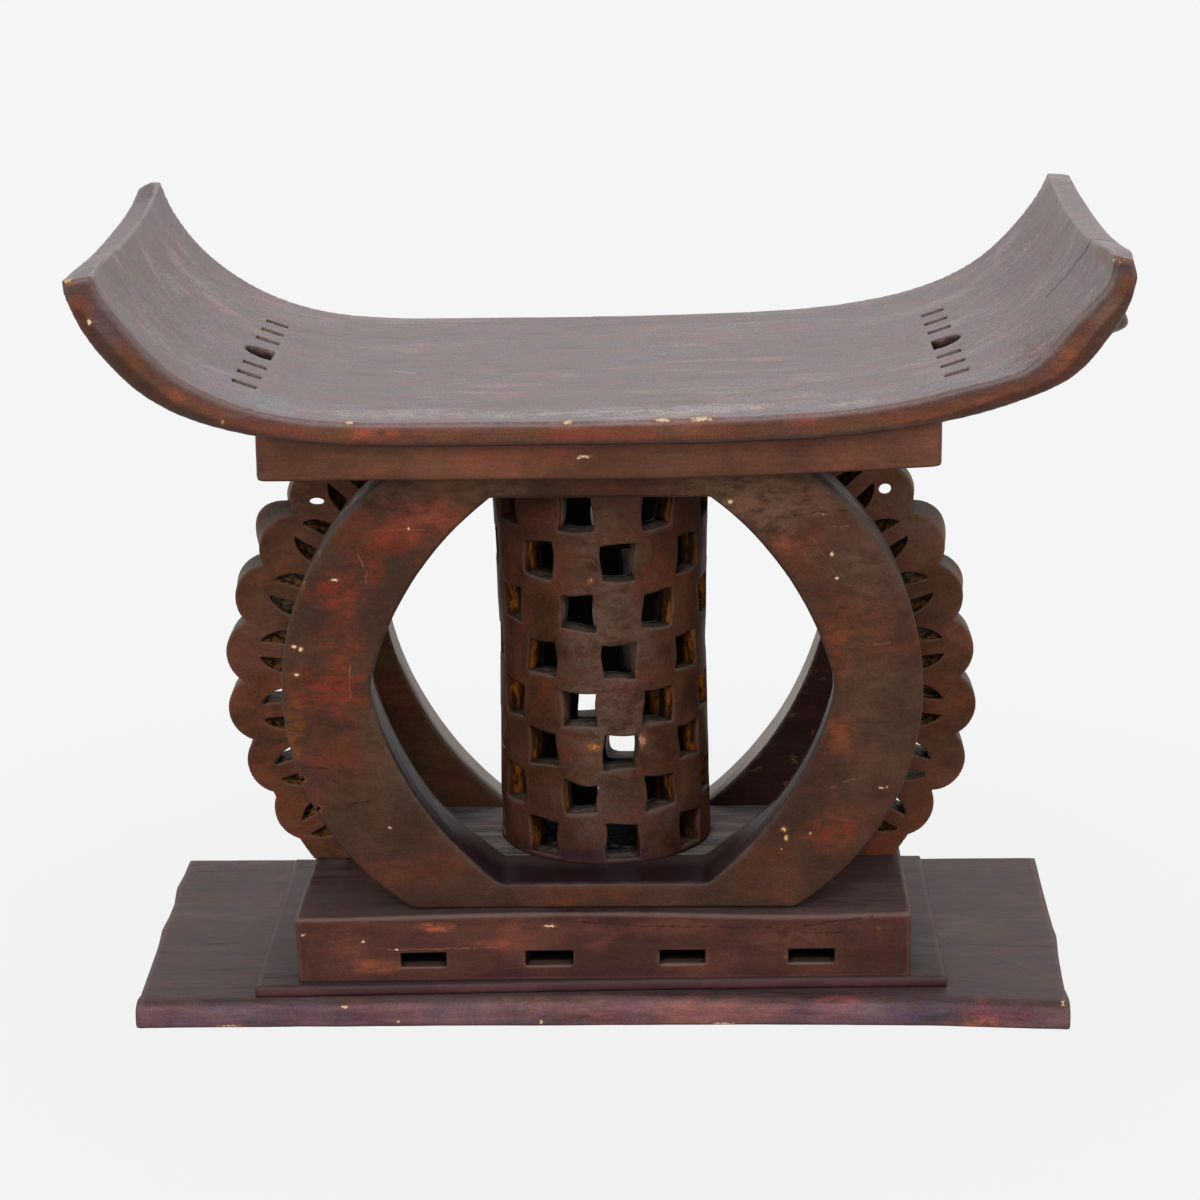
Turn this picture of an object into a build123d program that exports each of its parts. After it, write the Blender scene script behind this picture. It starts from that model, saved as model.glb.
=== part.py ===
from build123d import *
import os
from math import cos, radians, sin, sqrt

# A saddle stool of dark stained wood. The seat lies on a block, and the block
# is carried by a pierced round column, a flat hoop in front of it and one
# behind it, and a lobed panel at each side. They stand on a plinth, a thin
# step board and a base board.
#
# Millimetres. The origin is the middle of the base board's underside, +X runs
# along the seat, +Y to the back and +Z up.

# ---------------------------------------------------------------- fits ----
FIT = 0.2               # room on each side of a tenon or dowel in its hole
END_GAP = 0.5           # room past the end of a tenon or dowel

# ---------------------------------------------------------- base boards ----
BASE_LENGTH = 575.0
BASE_DEPTH = 254.0
BASE_THICKNESS = 17.5
BASE_NOSE_RADIUS = 8.0  # long top edges, worn round
BASE_FOOT_RADIUS = 2.5  # edges on the floor

STEP_LENGTH = 422.0
STEP_DEPTH = 233.0
STEP_THICKNESS = 6.5
STEP_EDGE_RADIUS = 2.0  # top edges

# --------------------------------------------------------------- plinth ----
PLINTH_LENGTH = 377.5
PLINTH_DEPTH = 223.0
PLINTH_HEIGHT = 44.5
PLINTH_EDGE_RADIUS = 1.5    # top and upright edges
NICHE_COUNT = 4         # small deep niches in the front face and in the back
NICHE_PITCH = 79.5
NICHE_ROW_PLACE = 8.0   # the middle of the row, from the plinth's middle
NICHE_WIDTH = 28.0
NICHE_HEIGHT = 10.0
NICHE_RISE = 10.5       # from the plinth's foot to the niche's floor
NICHE_DEPTH = 34.0

# ---------------------------------------------- what stands on the plinth ----
SUPPORT_HEIGHT = 280.5  # from the plinth's top to the seat block's underside

PAD_LENGTH = 268.0      # raised floor between the hoops
PAD_THICKNESS = 15.5    # also the hoops' bottom bars

FRONT_HOOP_THICKNESS = 53.0
BACK_HOOP_THICKNESS = 32.0
HOOP_SETBACK = 10.5     # from the plinth's face to the front hoop's face
HOOP_ARC_RADIUS = 166.0 # each outer side is one arc
HOOP_ARC_OFFSET = 28.5  # from the middle to that arc's centre
HOOP_ARC_RISE = 138.5   # from the plinth's top to that arc's centre
HOOP_EDGE_RADIUS = 3.5  # edges of the face that looks outwards
TOP_BAR = 21.5          # height of the hoop's bar under the seat block
OPENING_HALF_WIDTH = 141.5
OPENING_WAIST_RISE = 140.0
OPENING_TOP_HALF_WIDTH = 66.0
OPENING_FOOT_HALF_WIDTH = 64.0
OPENING_BULGE = 12.5    # how far each side bows out of its straight line
OPENING_WAIST_RADIUS = 36.0
OPENING_CORNER_RADIUS = 10.0

COLUMN_FOOT_RADIUS = 67.0
COLUMN_WAIST_RADIUS = 65.0
COLUMN_HEAD_RADIUS = 68.5
COLUMN_WALL = 16.0      # at the waist
COLUMN_ROOM = 0.5       # between the column and the hoops' top bars
HOLES_PER_ROW = 8
HOLE_WIDTH = 21.0
HOLE_HEIGHT = 22.5
HOLE_TURN = 7.5         # degrees the lowest row is turned from the front
HOLE_ROW_RISES = (14.5, 44.0, 72.5, 100.0, 131.0, 162.0, 194.0, 225.5)
# Degrees by which each row's holes stray at the back of the column.
HOLE_ROW_STRAYS = (0.0, 0.0, 0.0, -12.0, -12.0, -12.0, -12.0, -12.0)

PANEL_THICKNESS = 26.0
PANEL_PLACE = 3.0       # how far the panels stand behind the middle
PANEL_CLEARANCE = 21.5  # from the hoop's opening out to the panel's inner edge
LOBE_ARC_OFFSET = 21.0  # from the middle to the centre of the arc of lobes
LOBE_ARC_RISE = 119.5   # from the plinth's top to that centre
LEFT_PANEL_REACH = 218.5    # from that centre to the tip of the longest lobe
RIGHT_PANEL_REACH = 215.0
# How far each lobe falls short of that, from the lowest to the highest, which
# the seat block cuts off.
LEFT_LOBES_SHORT = (7.5, 4.0, 0.0, 0.0, 0.0, 2.0, 3.5, 4.5)
RIGHT_LOBES_SHORT = (7.0, 0.0, 0.5, 2.5, 3.0, 1.0, 2.0, 3.0)
LOBE_RADIUS = 22.0
LOBE_PITCH = 10.7       # degrees
LOBES_BELOW = 3         # lobes below the arc's centre
VALLEY_DEPTH = 13.5     # from a tip to the web between two lobes
EYE_LENGTH = 20.0       # half-oval hole in each lobe, from its flat side to its end
EYE_HEIGHT = 27.6       # along its flat side
EYE_INSET = 40.0        # from the lobe's tip to the flat side of the hole
EYE_PITCH = 12.0        # degrees
EYE_SPOKE = 10.2        # bar that divides the hole in two
EYES_ABOVE = 4          # eyes over the arc's centre

# ------------------------------------------------------- block and seat ----
BLOCK_LENGTH = 400.0
BLOCK_DEPTH = 286.0
BLOCK_HEIGHT = 24.0     # in the middle, where the seat is lowest
BLOCK_CORNER_RADIUS = 5.0
BLOCK_EDGE_RADIUS = 2.5

SEAT_LENGTH = 612.0
SEAT_DEPTH = 321.0
SEAT_THICKNESS = 15.0   # in the middle
LEFT_WING_RISE = 89.0   # from the middle of the seat's top to the wing's tip
RIGHT_WING_RISE = 92.5
TIP_WIDTH = 14.5        # of the wing's end face
LEFT_TIP_FALL = 4.5     # how far that face falls towards its outer edge
RIGHT_TIP_FALL = 1.0
TIP_DIP = 6.0           # hollow of the end face across the seat's depth
SEAT_TOP_RADIUS = 2.0
SEAT_NOSE_RADIUS = 5.5  # long lower edges
# Points of the seat's two faces, from the wing's end to the middle. Each has
# its distance in from the tip and its height over the middle of that face.
LEFT_TOP = ((11.5, 66.0), (41.5, 33.5), (101.5, 6.0), (190.0, -0.2))
RIGHT_TOP = ((9.5, 69.5), (41.0, 38.3), (101.5, 13.2), (205.0, 2.0))
LEFT_UNDERSIDE = ((16.0, 57.5), (56.0, 23.5), (116.0, 4.9), (200.0, -0.6))
RIGHT_UNDERSIDE = ((15.5, 58.5), (56.0, 28.0), (116.0, 10.3), (200.0, 1.6))

PIERCING_MARGIN = 2.5   # from the block's end out to the row of slots
PIERCING_LENGTH = 14.0
PIERCING_WIDTH = 7.0
PIERCING_PITCH = 27.5
PIERCINGS_PER_SIDE = 3  # slots on each side of the arched one
ARCH_LENGTH = 17.0
ARCH_WIDTH = 26.0
ARCH_SPACING = 37.5     # from the arched slot to the next narrow one
LEFT_ROW_PLACE = -12.0  # the arched slot, from the seat's middle line
RIGHT_ROW_PLACE = -28.0

# ------------------------------------------------------ hidden joinery ----
HOOP_TENON_PLACE = 70.0     # from the middle
HOOP_TENON_LENGTH = 30.0
HOOP_TENON_THICKNESS = 20.0
HOOP_SHOULDER = 10.0        # of a hoop's foot and head, past the tenon's end
PANEL_TENON_INSET = 10.0    # from the panel's inner edge
PANEL_TENON_LENGTH = 24.0
PANEL_TENON_THICKNESS = 14.0
TENON_DEPTH = 12.0

BOARD_DOWEL_RADIUS = 6.0
BOARD_DOWEL_PLACE = (150.0, 55.0)
BOARD_DOWEL_IN_BASE = 10.0
BOARD_DOWEL_IN_PLINTH = 20.0

SEAT_DOWEL_RADIUS = 6.0
SEAT_DOWEL_PLACES = (0.0, 120.0)
SEAT_DOWEL_DEPTH_PLACE = 95.0
SEAT_DOWEL_IN_BLOCK = 14.0
SEAT_DOWEL_IN_SEAT = 8.0

SMALL_DOWEL_RADIUS = 4.0
SMALL_DOWEL_DEPTH = 9.0     # in each of the two pieces that it joins
PAD_DOWEL_PLACE = 105.0     # from the middle
COLUMN_DOWEL_TURNS = (67.5, 112.5, 247.5, 292.5)    # degrees from the lowest holes

# ------------------------------------------------------------- heights ----
STEP_FOOT = BASE_THICKNESS
PLINTH_FOOT = STEP_FOOT + STEP_THICKNESS
PLINTH_TOP = PLINTH_FOOT + PLINTH_HEIGHT
PAD_TOP = PLINTH_TOP + PAD_THICKNESS
BLOCK_FOOT = PLINTH_TOP + SUPPORT_HEIGHT
SEAT_FOOT = BLOCK_FOOT + BLOCK_HEIGHT
SEAT_TOP = SEAT_FOOT + SEAT_THICKNESS
SEAT_HEIGHT = SEAT_THICKNESS + max(LEFT_WING_RISE, RIGHT_WING_RISE)

# -------------------------------------------------------------- places ----
HOOP_INNER_FACE = PLINTH_DEPTH / 2 - HOOP_SETBACK - FRONT_HOOP_THICKNESS    # of both hoops
FRONT_HOOP_PLACE = -HOOP_INNER_FACE - FRONT_HOOP_THICKNESS / 2
BACK_HOOP_PLACE = HOOP_INNER_FACE + BACK_HOOP_THICKNESS / 2
COLUMN_BORE_RADIUS = COLUMN_WAIST_RADIUS - COLUMN_WALL
COLUMN_WALL_MIDDLE = COLUMN_BORE_RADIUS + COLUMN_WALL / 2
PANEL_INNER_EDGE = PAD_LENGTH / 2
PANEL_TENON_PLACE = PANEL_INNER_EDGE + PANEL_TENON_INSET + PANEL_TENON_LENGTH / 2
LEFT, RIGHT = -1, 1
FRONT, BACK = -1, 1


# --------------------------------------------------------------- tools ----
def board(length, depth, foot, height, at=(0, 0)):
    """A plain block that stands on the height foot."""
    return Pos(at[0], at[1], foot) * Box(length, depth, height, align=(Align.CENTER, Align.CENTER, Align.MIN))


def peg(radius, foot, length, at):
    """An upright round peg or hole."""
    return Pos(at[0], at[1], foot) * Cylinder(radius, length, align=(Align.CENTER, Align.CENTER, Align.MIN))


def upright(outline, thickness, place=0.0):
    """A plate of the given thickness from an outline drawn in X and Z."""
    return Pos(0, place, 0) * extrude(Plane.XZ * outline, amount=thickness / 2, both=True)


def arc_point(centre, radius, degrees):
    """The point on a circle in X and Z."""
    return centre[0] + radius * cos(radians(degrees)), centre[1] + radius * sin(radians(degrees))


def around_column(degrees, radius):
    """The point at a turn from the column's front, counted towards +X."""
    return radius * sin(radians(degrees)), -radius * cos(radians(degrees))


# ------------------------------------------------------ hidden joinery ----
def hoop_tenon_places(hoops=(FRONT_HOOP_PLACE, BACK_HOOP_PLACE)):
    """Where the tenons of these hoops are, in X and Y."""
    return [(side * HOOP_TENON_PLACE, place) for side in (LEFT, RIGHT) for place in hoops]


def panel_tenon_places():
    """Where the panels' tenons are, in X and Y."""
    return [(side * PANEL_TENON_PLACE, PANEL_PLACE) for side in (LEFT, RIGHT)]


def board_dowel_places():
    """Where dowels hold the three lower boards together."""
    x, y = BOARD_DOWEL_PLACE
    return [(i * x, j * y) for i in (LEFT, RIGHT) for j in (FRONT, BACK)]


def seat_dowel_places():
    """Where dowels hold the seat to its block."""
    places = sorted({side * x for x in SEAT_DOWEL_PLACES for side in (LEFT, RIGHT)})
    return [(x, y * SEAT_DOWEL_DEPTH_PLACE) for x in places for y in (FRONT, BACK)]


def pad_dowel_places():
    """Where dowels hold the floor pad to the plinth."""
    return [(side * PAD_DOWEL_PLACE, 0.0) for side in (LEFT, RIGHT)]


def column_dowel_places():
    """Where dowels hold the column's foot and head."""
    return [around_column(HOLE_TURN + turn, COLUMN_WALL_MIDDLE) for turn in COLUMN_DOWEL_TURNS]


def mortises(places, length, thickness, foot, depth):
    """Slots for tenons, a little wider than they are."""
    return [board(length + 2 * FIT, thickness + 2 * FIT, foot, depth, at) for at in places]


def dowels(places, radius, foot, below, above):
    """Dowels across the height foot, that far below it and above it."""
    return [peg(radius, foot - below, below + above, at) for at in places]


def dowel_holes(places, radius, foot, below, above):
    """Holes for such dowels, a little wider and longer."""
    return dowels(places, radius + FIT, foot, below + END_GAP, above + END_GAP)


# ---------------------------------------------------------- base boards ----
def make_base_board():
    """The lowest board, with its long top edges worn round."""
    solid = board(BASE_LENGTH, BASE_DEPTH, 0, BASE_THICKNESS)
    nose = solid.edges().filter_by(Axis.X).group_by(Axis.Z)[-1]
    solid = fillet(nose, BASE_NOSE_RADIUS)
    foot = solid.edges().group_by(Axis.Z)[0]
    solid = fillet(foot, BASE_FOOT_RADIUS)
    return solid - dowel_holes(
        board_dowel_places(), BOARD_DOWEL_RADIUS, STEP_FOOT, BOARD_DOWEL_IN_BASE, STEP_THICKNESS)


def make_step_board():
    """The thin board between the base board and the plinth."""
    solid = board(STEP_LENGTH, STEP_DEPTH, STEP_FOOT, STEP_THICKNESS)
    solid = fillet(solid.edges().group_by(Axis.Z)[-1], STEP_EDGE_RADIUS)
    return solid - dowel_holes(
        board_dowel_places(), BOARD_DOWEL_RADIUS, STEP_FOOT, BOARD_DOWEL_IN_BASE,
        STEP_THICKNESS + BOARD_DOWEL_IN_PLINTH)


def make_plinth():
    """The plinth, with its niches and the mortises for what stands on it."""
    solid = board(PLINTH_LENGTH, PLINTH_DEPTH, PLINTH_FOOT, PLINTH_HEIGHT)
    edges = solid.edges().group_by(Axis.Z)[-1] + solid.edges().filter_by(Axis.Z)
    solid = fillet(edges, PLINTH_EDGE_RADIUS)
    first = NICHE_ROW_PLACE - NICHE_PITCH * (NICHE_COUNT - 1) / 2
    niches = [
        board(NICHE_WIDTH, 2 * NICHE_DEPTH, PLINTH_FOOT + NICHE_RISE, NICHE_HEIGHT,
              (first + i * NICHE_PITCH, side * PLINTH_DEPTH / 2))
        for i in range(NICHE_COUNT) for side in (FRONT, BACK)
    ]
    depth = TENON_DEPTH + END_GAP
    foot = PLINTH_TOP - depth
    solid -= niches
    solid -= mortises(hoop_tenon_places(), HOOP_TENON_LENGTH, HOOP_TENON_THICKNESS, foot, depth)
    solid -= mortises(panel_tenon_places(), PANEL_TENON_LENGTH, PANEL_TENON_THICKNESS, foot, depth)
    solid -= dowel_holes(
        board_dowel_places(), BOARD_DOWEL_RADIUS, PLINTH_FOOT, STEP_THICKNESS, BOARD_DOWEL_IN_PLINTH)
    return solid - dowel_holes(
        pad_dowel_places(), SMALL_DOWEL_RADIUS, PLINTH_TOP, SMALL_DOWEL_DEPTH, SMALL_DOWEL_DEPTH)


def make_floor_pad():
    """The raised floor between the hoops, level with their bottom bars."""
    solid = board(PAD_LENGTH, 2 * HOOP_INNER_FACE, PLINTH_TOP, PAD_THICKNESS)
    solid -= dowel_holes(
        pad_dowel_places(), SMALL_DOWEL_RADIUS, PLINTH_TOP, SMALL_DOWEL_DEPTH, SMALL_DOWEL_DEPTH)
    return solid - dowel_holes(
        column_dowel_places(), SMALL_DOWEL_RADIUS, PAD_TOP, SMALL_DOWEL_DEPTH, SMALL_DOWEL_DEPTH)


# ------------------------------------------------------------ supports ----
def bowed(start, end, bulge):
    """An arc from start to end that bows to the left of the way between them."""
    middle = (start[0] + end[0]) / 2, (start[1] + end[1]) / 2
    run, rise = end[0] - start[0], end[1] - start[1]
    length = sqrt(run**2 + rise**2)
    return ThreePointArc(start, (middle[0] - bulge * rise / length, middle[1] + bulge * run / length), end)


def hoop_outline():
    """The hoop's outer shape: one arc at each side, cut off flat at its foot and head."""
    sides = [
        Pos(side * HOOP_ARC_OFFSET, PLINTH_TOP + HOOP_ARC_RISE) * Circle(HOOP_ARC_RADIUS)
        for side in (LEFT, RIGHT)
    ]
    lens = sides[0] + sides[1]
    seat = HOOP_TENON_PLACE + HOOP_TENON_LENGTH / 2 + HOOP_SHOULDER
    lens += Pos(0, PLINTH_TOP) * Rectangle(2 * seat, PAD_THICKNESS, align=(Align.CENTER, Align.MIN))
    lens += Pos(0, BLOCK_FOOT) * Rectangle(2 * seat, TOP_BAR, align=(Align.CENTER, Align.MAX))
    band = Pos(0, PLINTH_TOP) * Rectangle(
        3 * HOOP_ARC_RADIUS, SUPPORT_HEIGHT, align=(Align.CENTER, Align.MIN))
    return lens & band


def hoop_opening():
    """The opening, widest at its waist, with two bowed sides to the left and two to the right."""
    foot, head = PAD_TOP, BLOCK_FOOT - TOP_BAR
    waist = PLINTH_TOP + OPENING_WAIST_RISE
    foot_left, foot_right = (-OPENING_FOOT_HALF_WIDTH, foot), (OPENING_FOOT_HALF_WIDTH, foot)
    head_left, head_right = (-OPENING_TOP_HALF_WIDTH, head), (OPENING_TOP_HALF_WIDTH, head)
    left, right = (-OPENING_HALF_WIDTH, waist), (OPENING_HALF_WIDTH, waist)
    outline = Curve() + [
        Line(foot_left, foot_right),
        bowed(right, foot_right, OPENING_BULGE),
        bowed(head_right, right, OPENING_BULGE),
        Line(head_right, head_left),
        bowed(left, head_left, OPENING_BULGE),
        bowed(foot_left, left, OPENING_BULGE),
    ]
    opening = make_face(outline)
    corners = opening.vertices().group_by(Axis.Y)
    opening = fillet(corners[0], OPENING_CORNER_RADIUS)
    waists = [v for v in opening.vertices() if abs(v.Y - waist) < 1e-6]
    return fillet(waists, OPENING_WAIST_RADIUS)


def make_hoop(place, thickness):
    """A flat hoop before or behind the column, with its top bar cut round the column."""
    solid = upright(hoop_outline() - hoop_opening(), thickness, place)
    face = solid.faces().filter_by(Axis.Y).sort_by(Axis.Y)[0 if place < 0 else -1]
    between_foot_and_head = face.edges().group_by(Axis.Z)[1:-1]
    solid = fillet([edge for group in between_foot_and_head for edge in group], HOOP_EDGE_RADIUS)
    solid -= peg(COLUMN_HEAD_RADIUS + COLUMN_ROOM, PAD_TOP, SUPPORT_HEIGHT, (0, 0))
    for at in hoop_tenon_places([place]):
        for joint in (PLINTH_TOP, BLOCK_FOOT):
            solid += board(
                HOOP_TENON_LENGTH, HOOP_TENON_THICKNESS, joint - TENON_DEPTH, 2 * TENON_DEPTH, at)
    return solid


def make_column():
    """The round column: a slightly waisted tube with staggered rows of square holes."""
    waist = (PAD_TOP + BLOCK_FOOT) / 2
    wall = Polyline(
        (COLUMN_BORE_RADIUS, PAD_TOP), (COLUMN_FOOT_RADIUS, PAD_TOP), (COLUMN_WAIST_RADIUS, waist),
        (COLUMN_HEAD_RADIUS, BLOCK_FOOT), (COLUMN_BORE_RADIUS, BLOCK_FOOT), close=True)
    solid = revolve(Plane.XZ * make_face(wall), Axis.Z)
    for row, (rise, stray) in enumerate(zip(HOLE_ROW_RISES, HOLE_ROW_STRAYS)):
        hole = board(HOLE_WIDTH, 2 * COLUMN_WALL, PAD_TOP + rise - HOLE_HEIGHT / 2, HOLE_HEIGHT,
                     (0, -COLUMN_WALL_MIDDLE))
        turns = [HOLE_TURN + (i + row % 2 / 2) * 360 / HOLES_PER_ROW for i in range(HOLES_PER_ROW)]
        solid -= [Rot(0, 0, turn + stray * sin(radians(turn / 2))**4) * hole for turn in turns]
    solid -= dowel_holes(
        column_dowel_places(), SMALL_DOWEL_RADIUS, PAD_TOP, SMALL_DOWEL_DEPTH, SMALL_DOWEL_DEPTH)
    return solid - dowel_holes(
        column_dowel_places(), SMALL_DOWEL_RADIUS, BLOCK_FOOT, SMALL_DOWEL_DEPTH, SMALL_DOWEL_DEPTH)


def panel_eye(centre, turn, reach):
    """The half-oval hole of one lobe, divided by a spoke."""
    flat_side = arc_point(centre, reach - EYE_INSET, turn)
    oval = Ellipse(EYE_LENGTH, EYE_HEIGHT / 2)
    outer_half = Rectangle(EYE_LENGTH, EYE_HEIGHT, align=(Align.MIN, Align.CENTER))
    spoke = Rectangle(2 * EYE_LENGTH, EYE_SPOKE)
    return Pos(*flat_side) * Rot(0, 0, turn) * ((oval & outer_half) - spoke)


def make_panel(side, reach, shortfalls):
    """A lobed side panel between the hoops, with a tenon at its foot and head."""
    centre = (LOBE_ARC_OFFSET, PLINTH_TOP + LOBE_ARC_RISE)
    outline = Pos(*centre) * Circle(reach - VALLEY_DEPTH)
    for i, shortfall in enumerate(shortfalls):
        turn = (i - LOBES_BELOW + 0.5) * LOBE_PITCH
        outline += Pos(*arc_point(centre, reach - shortfall - LOBE_RADIUS, turn)) * Circle(LOBE_RADIUS)
    root = PANEL_TENON_INSET + PANEL_TENON_LENGTH
    outline += Pos(PANEL_INNER_EDGE, PLINTH_TOP) * Rectangle(root, SUPPORT_HEIGHT, align=(Align.MIN, Align.MIN))
    span = Pos(PANEL_INNER_EDGE, PLINTH_TOP) * Rectangle(reach, SUPPORT_HEIGHT, align=(Align.MIN, Align.MIN))
    inside = Pos(0, PLINTH_TOP + OPENING_WAIST_RISE) * Circle(OPENING_HALF_WIDTH + PANEL_CLEARANCE)
    outline = (outline & span) - inside
    for i in range(-LOBES_BELOW, EYES_ABOVE):
        outline -= panel_eye(centre, (i + 0.5) * EYE_PITCH, reach)
    solid = upright(outline, PANEL_THICKNESS, PANEL_PLACE)
    for joint in (PLINTH_TOP, BLOCK_FOOT):
        solid += board(PANEL_TENON_LENGTH, PANEL_TENON_THICKNESS, joint - TENON_DEPTH, 2 * TENON_DEPTH,
                       (PANEL_TENON_PLACE, PANEL_PLACE))
    return mirror(solid, Plane.YZ) if side == LEFT else solid


# ------------------------------------------------------- block and seat ----
def face_line(middle, left_points, left_end, right_points, right_end):
    """A smooth line in X and Z through one face of the seat, from wing to wing."""
    left = [(left_end[0] + inset, middle + rise) for inset, rise in left_points]
    right = [(right_end[0] - inset, middle + rise) for inset, rise in right_points]
    return Spline([left_end, *left, (0, middle), *reversed(right), right_end])


def seat_tips():
    """The corners of the wings' end faces: left inner, left outer, right inner, right outer."""
    outer, inner = SEAT_LENGTH / 2, SEAT_LENGTH / 2 - TIP_WIDTH
    left_top, right_top = SEAT_TOP + LEFT_WING_RISE, SEAT_TOP + RIGHT_WING_RISE
    return ((-inner, left_top), (-outer, left_top - LEFT_TIP_FALL),
            (inner, right_top), (outer, right_top - RIGHT_TIP_FALL))


def seat_underside():
    """The line of the seat's underside."""
    _, left, _, right = seat_tips()
    return face_line(SEAT_FOOT, LEFT_UNDERSIDE, left, RIGHT_UNDERSIDE, right)


def seat_profile():
    """The seat's section in X and Z."""
    left_inner, left_outer, right_inner, right_outer = seat_tips()
    return make_face(Curve() + [
        face_line(SEAT_TOP, LEFT_TOP, left_inner, RIGHT_TOP, right_inner),
        Line(right_inner, right_outer),
        seat_underside(),
        Line(left_outer, left_inner),
    ])


def under_seat():
    """Everything below the seat's underside, for cutting the block to it."""
    _, left, _, right = seat_tips()
    return make_face(Curve() + [
        seat_underside(),
        Line(right, (right[0], 0)),
        Line((right[0], 0), (left[0], 0)),
        Line((left[0], 0), left),
    ])


def piercings(side, row_place):
    """The row of through slots near one wing: three narrow ones, an arched one, three narrow ones."""
    start = side * (BLOCK_LENGTH / 2 + PIERCING_MARGIN)
    middle = start + side * PIERCING_LENGTH / 2
    cuts = []
    for i in range(PIERCINGS_PER_SIDE):
        offset = ARCH_SPACING + i * PIERCING_PITCH
        for way in (FRONT, BACK):
            at = (middle, row_place + way * offset)
            cuts.append(board(PIERCING_LENGTH, PIERCING_WIDTH, SEAT_FOOT, SEAT_HEIGHT, at))
    arch = Circle(ARCH_WIDTH / 2) & Rectangle(ARCH_WIDTH / 2, ARCH_WIDTH, align=(Align.MIN, Align.CENTER))
    straight = ARCH_LENGTH - ARCH_WIDTH / 2
    arch = Pos(straight, 0) * arch + Rectangle(straight, ARCH_WIDTH, align=(Align.MIN, Align.CENTER))
    arch = arch if side == RIGHT else mirror(arch, Plane.YZ)
    cuts.append(Pos(start, row_place, SEAT_FOOT) * extrude(arch, amount=SEAT_HEIGHT))
    return cuts


def tip_hollow(inner, outer):
    """What is cut from a wing's end face to hollow it across the seat's depth."""
    half = SEAT_DEPTH / 2
    top = SEAT_HEIGHT / 2
    section = make_face(Curve() + [
        ThreePointArc((-half, 0), (0, -TIP_DIP), (half, 0)),
        Line((half, 0), (half, top)),
        Line((half, top), (-half, top)),
        Line((-half, top), (-half, 0)),
    ])
    run, fall = outer[0] - inner[0], outer[1] - inner[1]
    start = Plane(origin=(inner[0] - run, 0, inner[1] - fall), x_dir=(0, 1, 0), z_dir=(1, 0, 0))
    return extrude(start * section, amount=3 * sqrt(run**2 + fall**2), dir=(run, 0, fall))


def make_seat():
    """The saddle seat: a board curved up at both ends, with a row of slots near each wing."""
    solid = upright(seat_profile(), SEAT_DEPTH)
    long_edges = [edge for edge in solid.edges() if abs(edge.center().X) < SEAT_LENGTH / 4]
    by_height = ShapeList(long_edges).sort_by(Axis.Z)
    solid = fillet(by_height[-2:], SEAT_TOP_RADIUS)
    long_edges = [edge for edge in solid.edges() if abs(edge.center().X) < SEAT_LENGTH / 4]
    by_height = ShapeList(long_edges).sort_by(Axis.Z)
    solid = fillet(by_height[:2], SEAT_NOSE_RADIUS)
    left_inner, left_outer, right_inner, right_outer = seat_tips()
    solid -= tip_hollow(left_inner, left_outer)
    solid -= tip_hollow(right_inner, right_outer)
    solid -= piercings(LEFT, LEFT_ROW_PLACE)
    solid -= piercings(RIGHT, RIGHT_ROW_PLACE)
    return solid - seat_dowel_holes()


def make_seat_block():
    """The block under the seat, cut to the seat's curve on top."""
    solid = board(BLOCK_LENGTH, BLOCK_DEPTH, BLOCK_FOOT, BLOCK_HEIGHT + SEAT_HEIGHT)
    solid = fillet(solid.edges().filter_by(Axis.Z), BLOCK_CORNER_RADIUS)
    solid = fillet(solid.edges().group_by(Axis.Z)[0], BLOCK_EDGE_RADIUS)
    solid &= upright(under_seat(), SEAT_DEPTH)
    depth = TENON_DEPTH + END_GAP
    solid -= mortises(hoop_tenon_places(), HOOP_TENON_LENGTH, HOOP_TENON_THICKNESS, BLOCK_FOOT, depth)
    solid -= mortises(panel_tenon_places(), PANEL_TENON_LENGTH, PANEL_TENON_THICKNESS, BLOCK_FOOT, depth)
    solid -= dowel_holes(
        column_dowel_places(), SMALL_DOWEL_RADIUS, BLOCK_FOOT, SMALL_DOWEL_DEPTH, SMALL_DOWEL_DEPTH)
    return solid - seat_dowel_holes()


def seat_dowel_holes():
    """Holes in the block and the seat for the dowels between them."""
    return dowel_holes(
        seat_dowel_places(), SEAT_DOWEL_RADIUS, SEAT_FOOT, SEAT_DOWEL_IN_BLOCK, SEAT_DOWEL_IN_SEAT)


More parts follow.
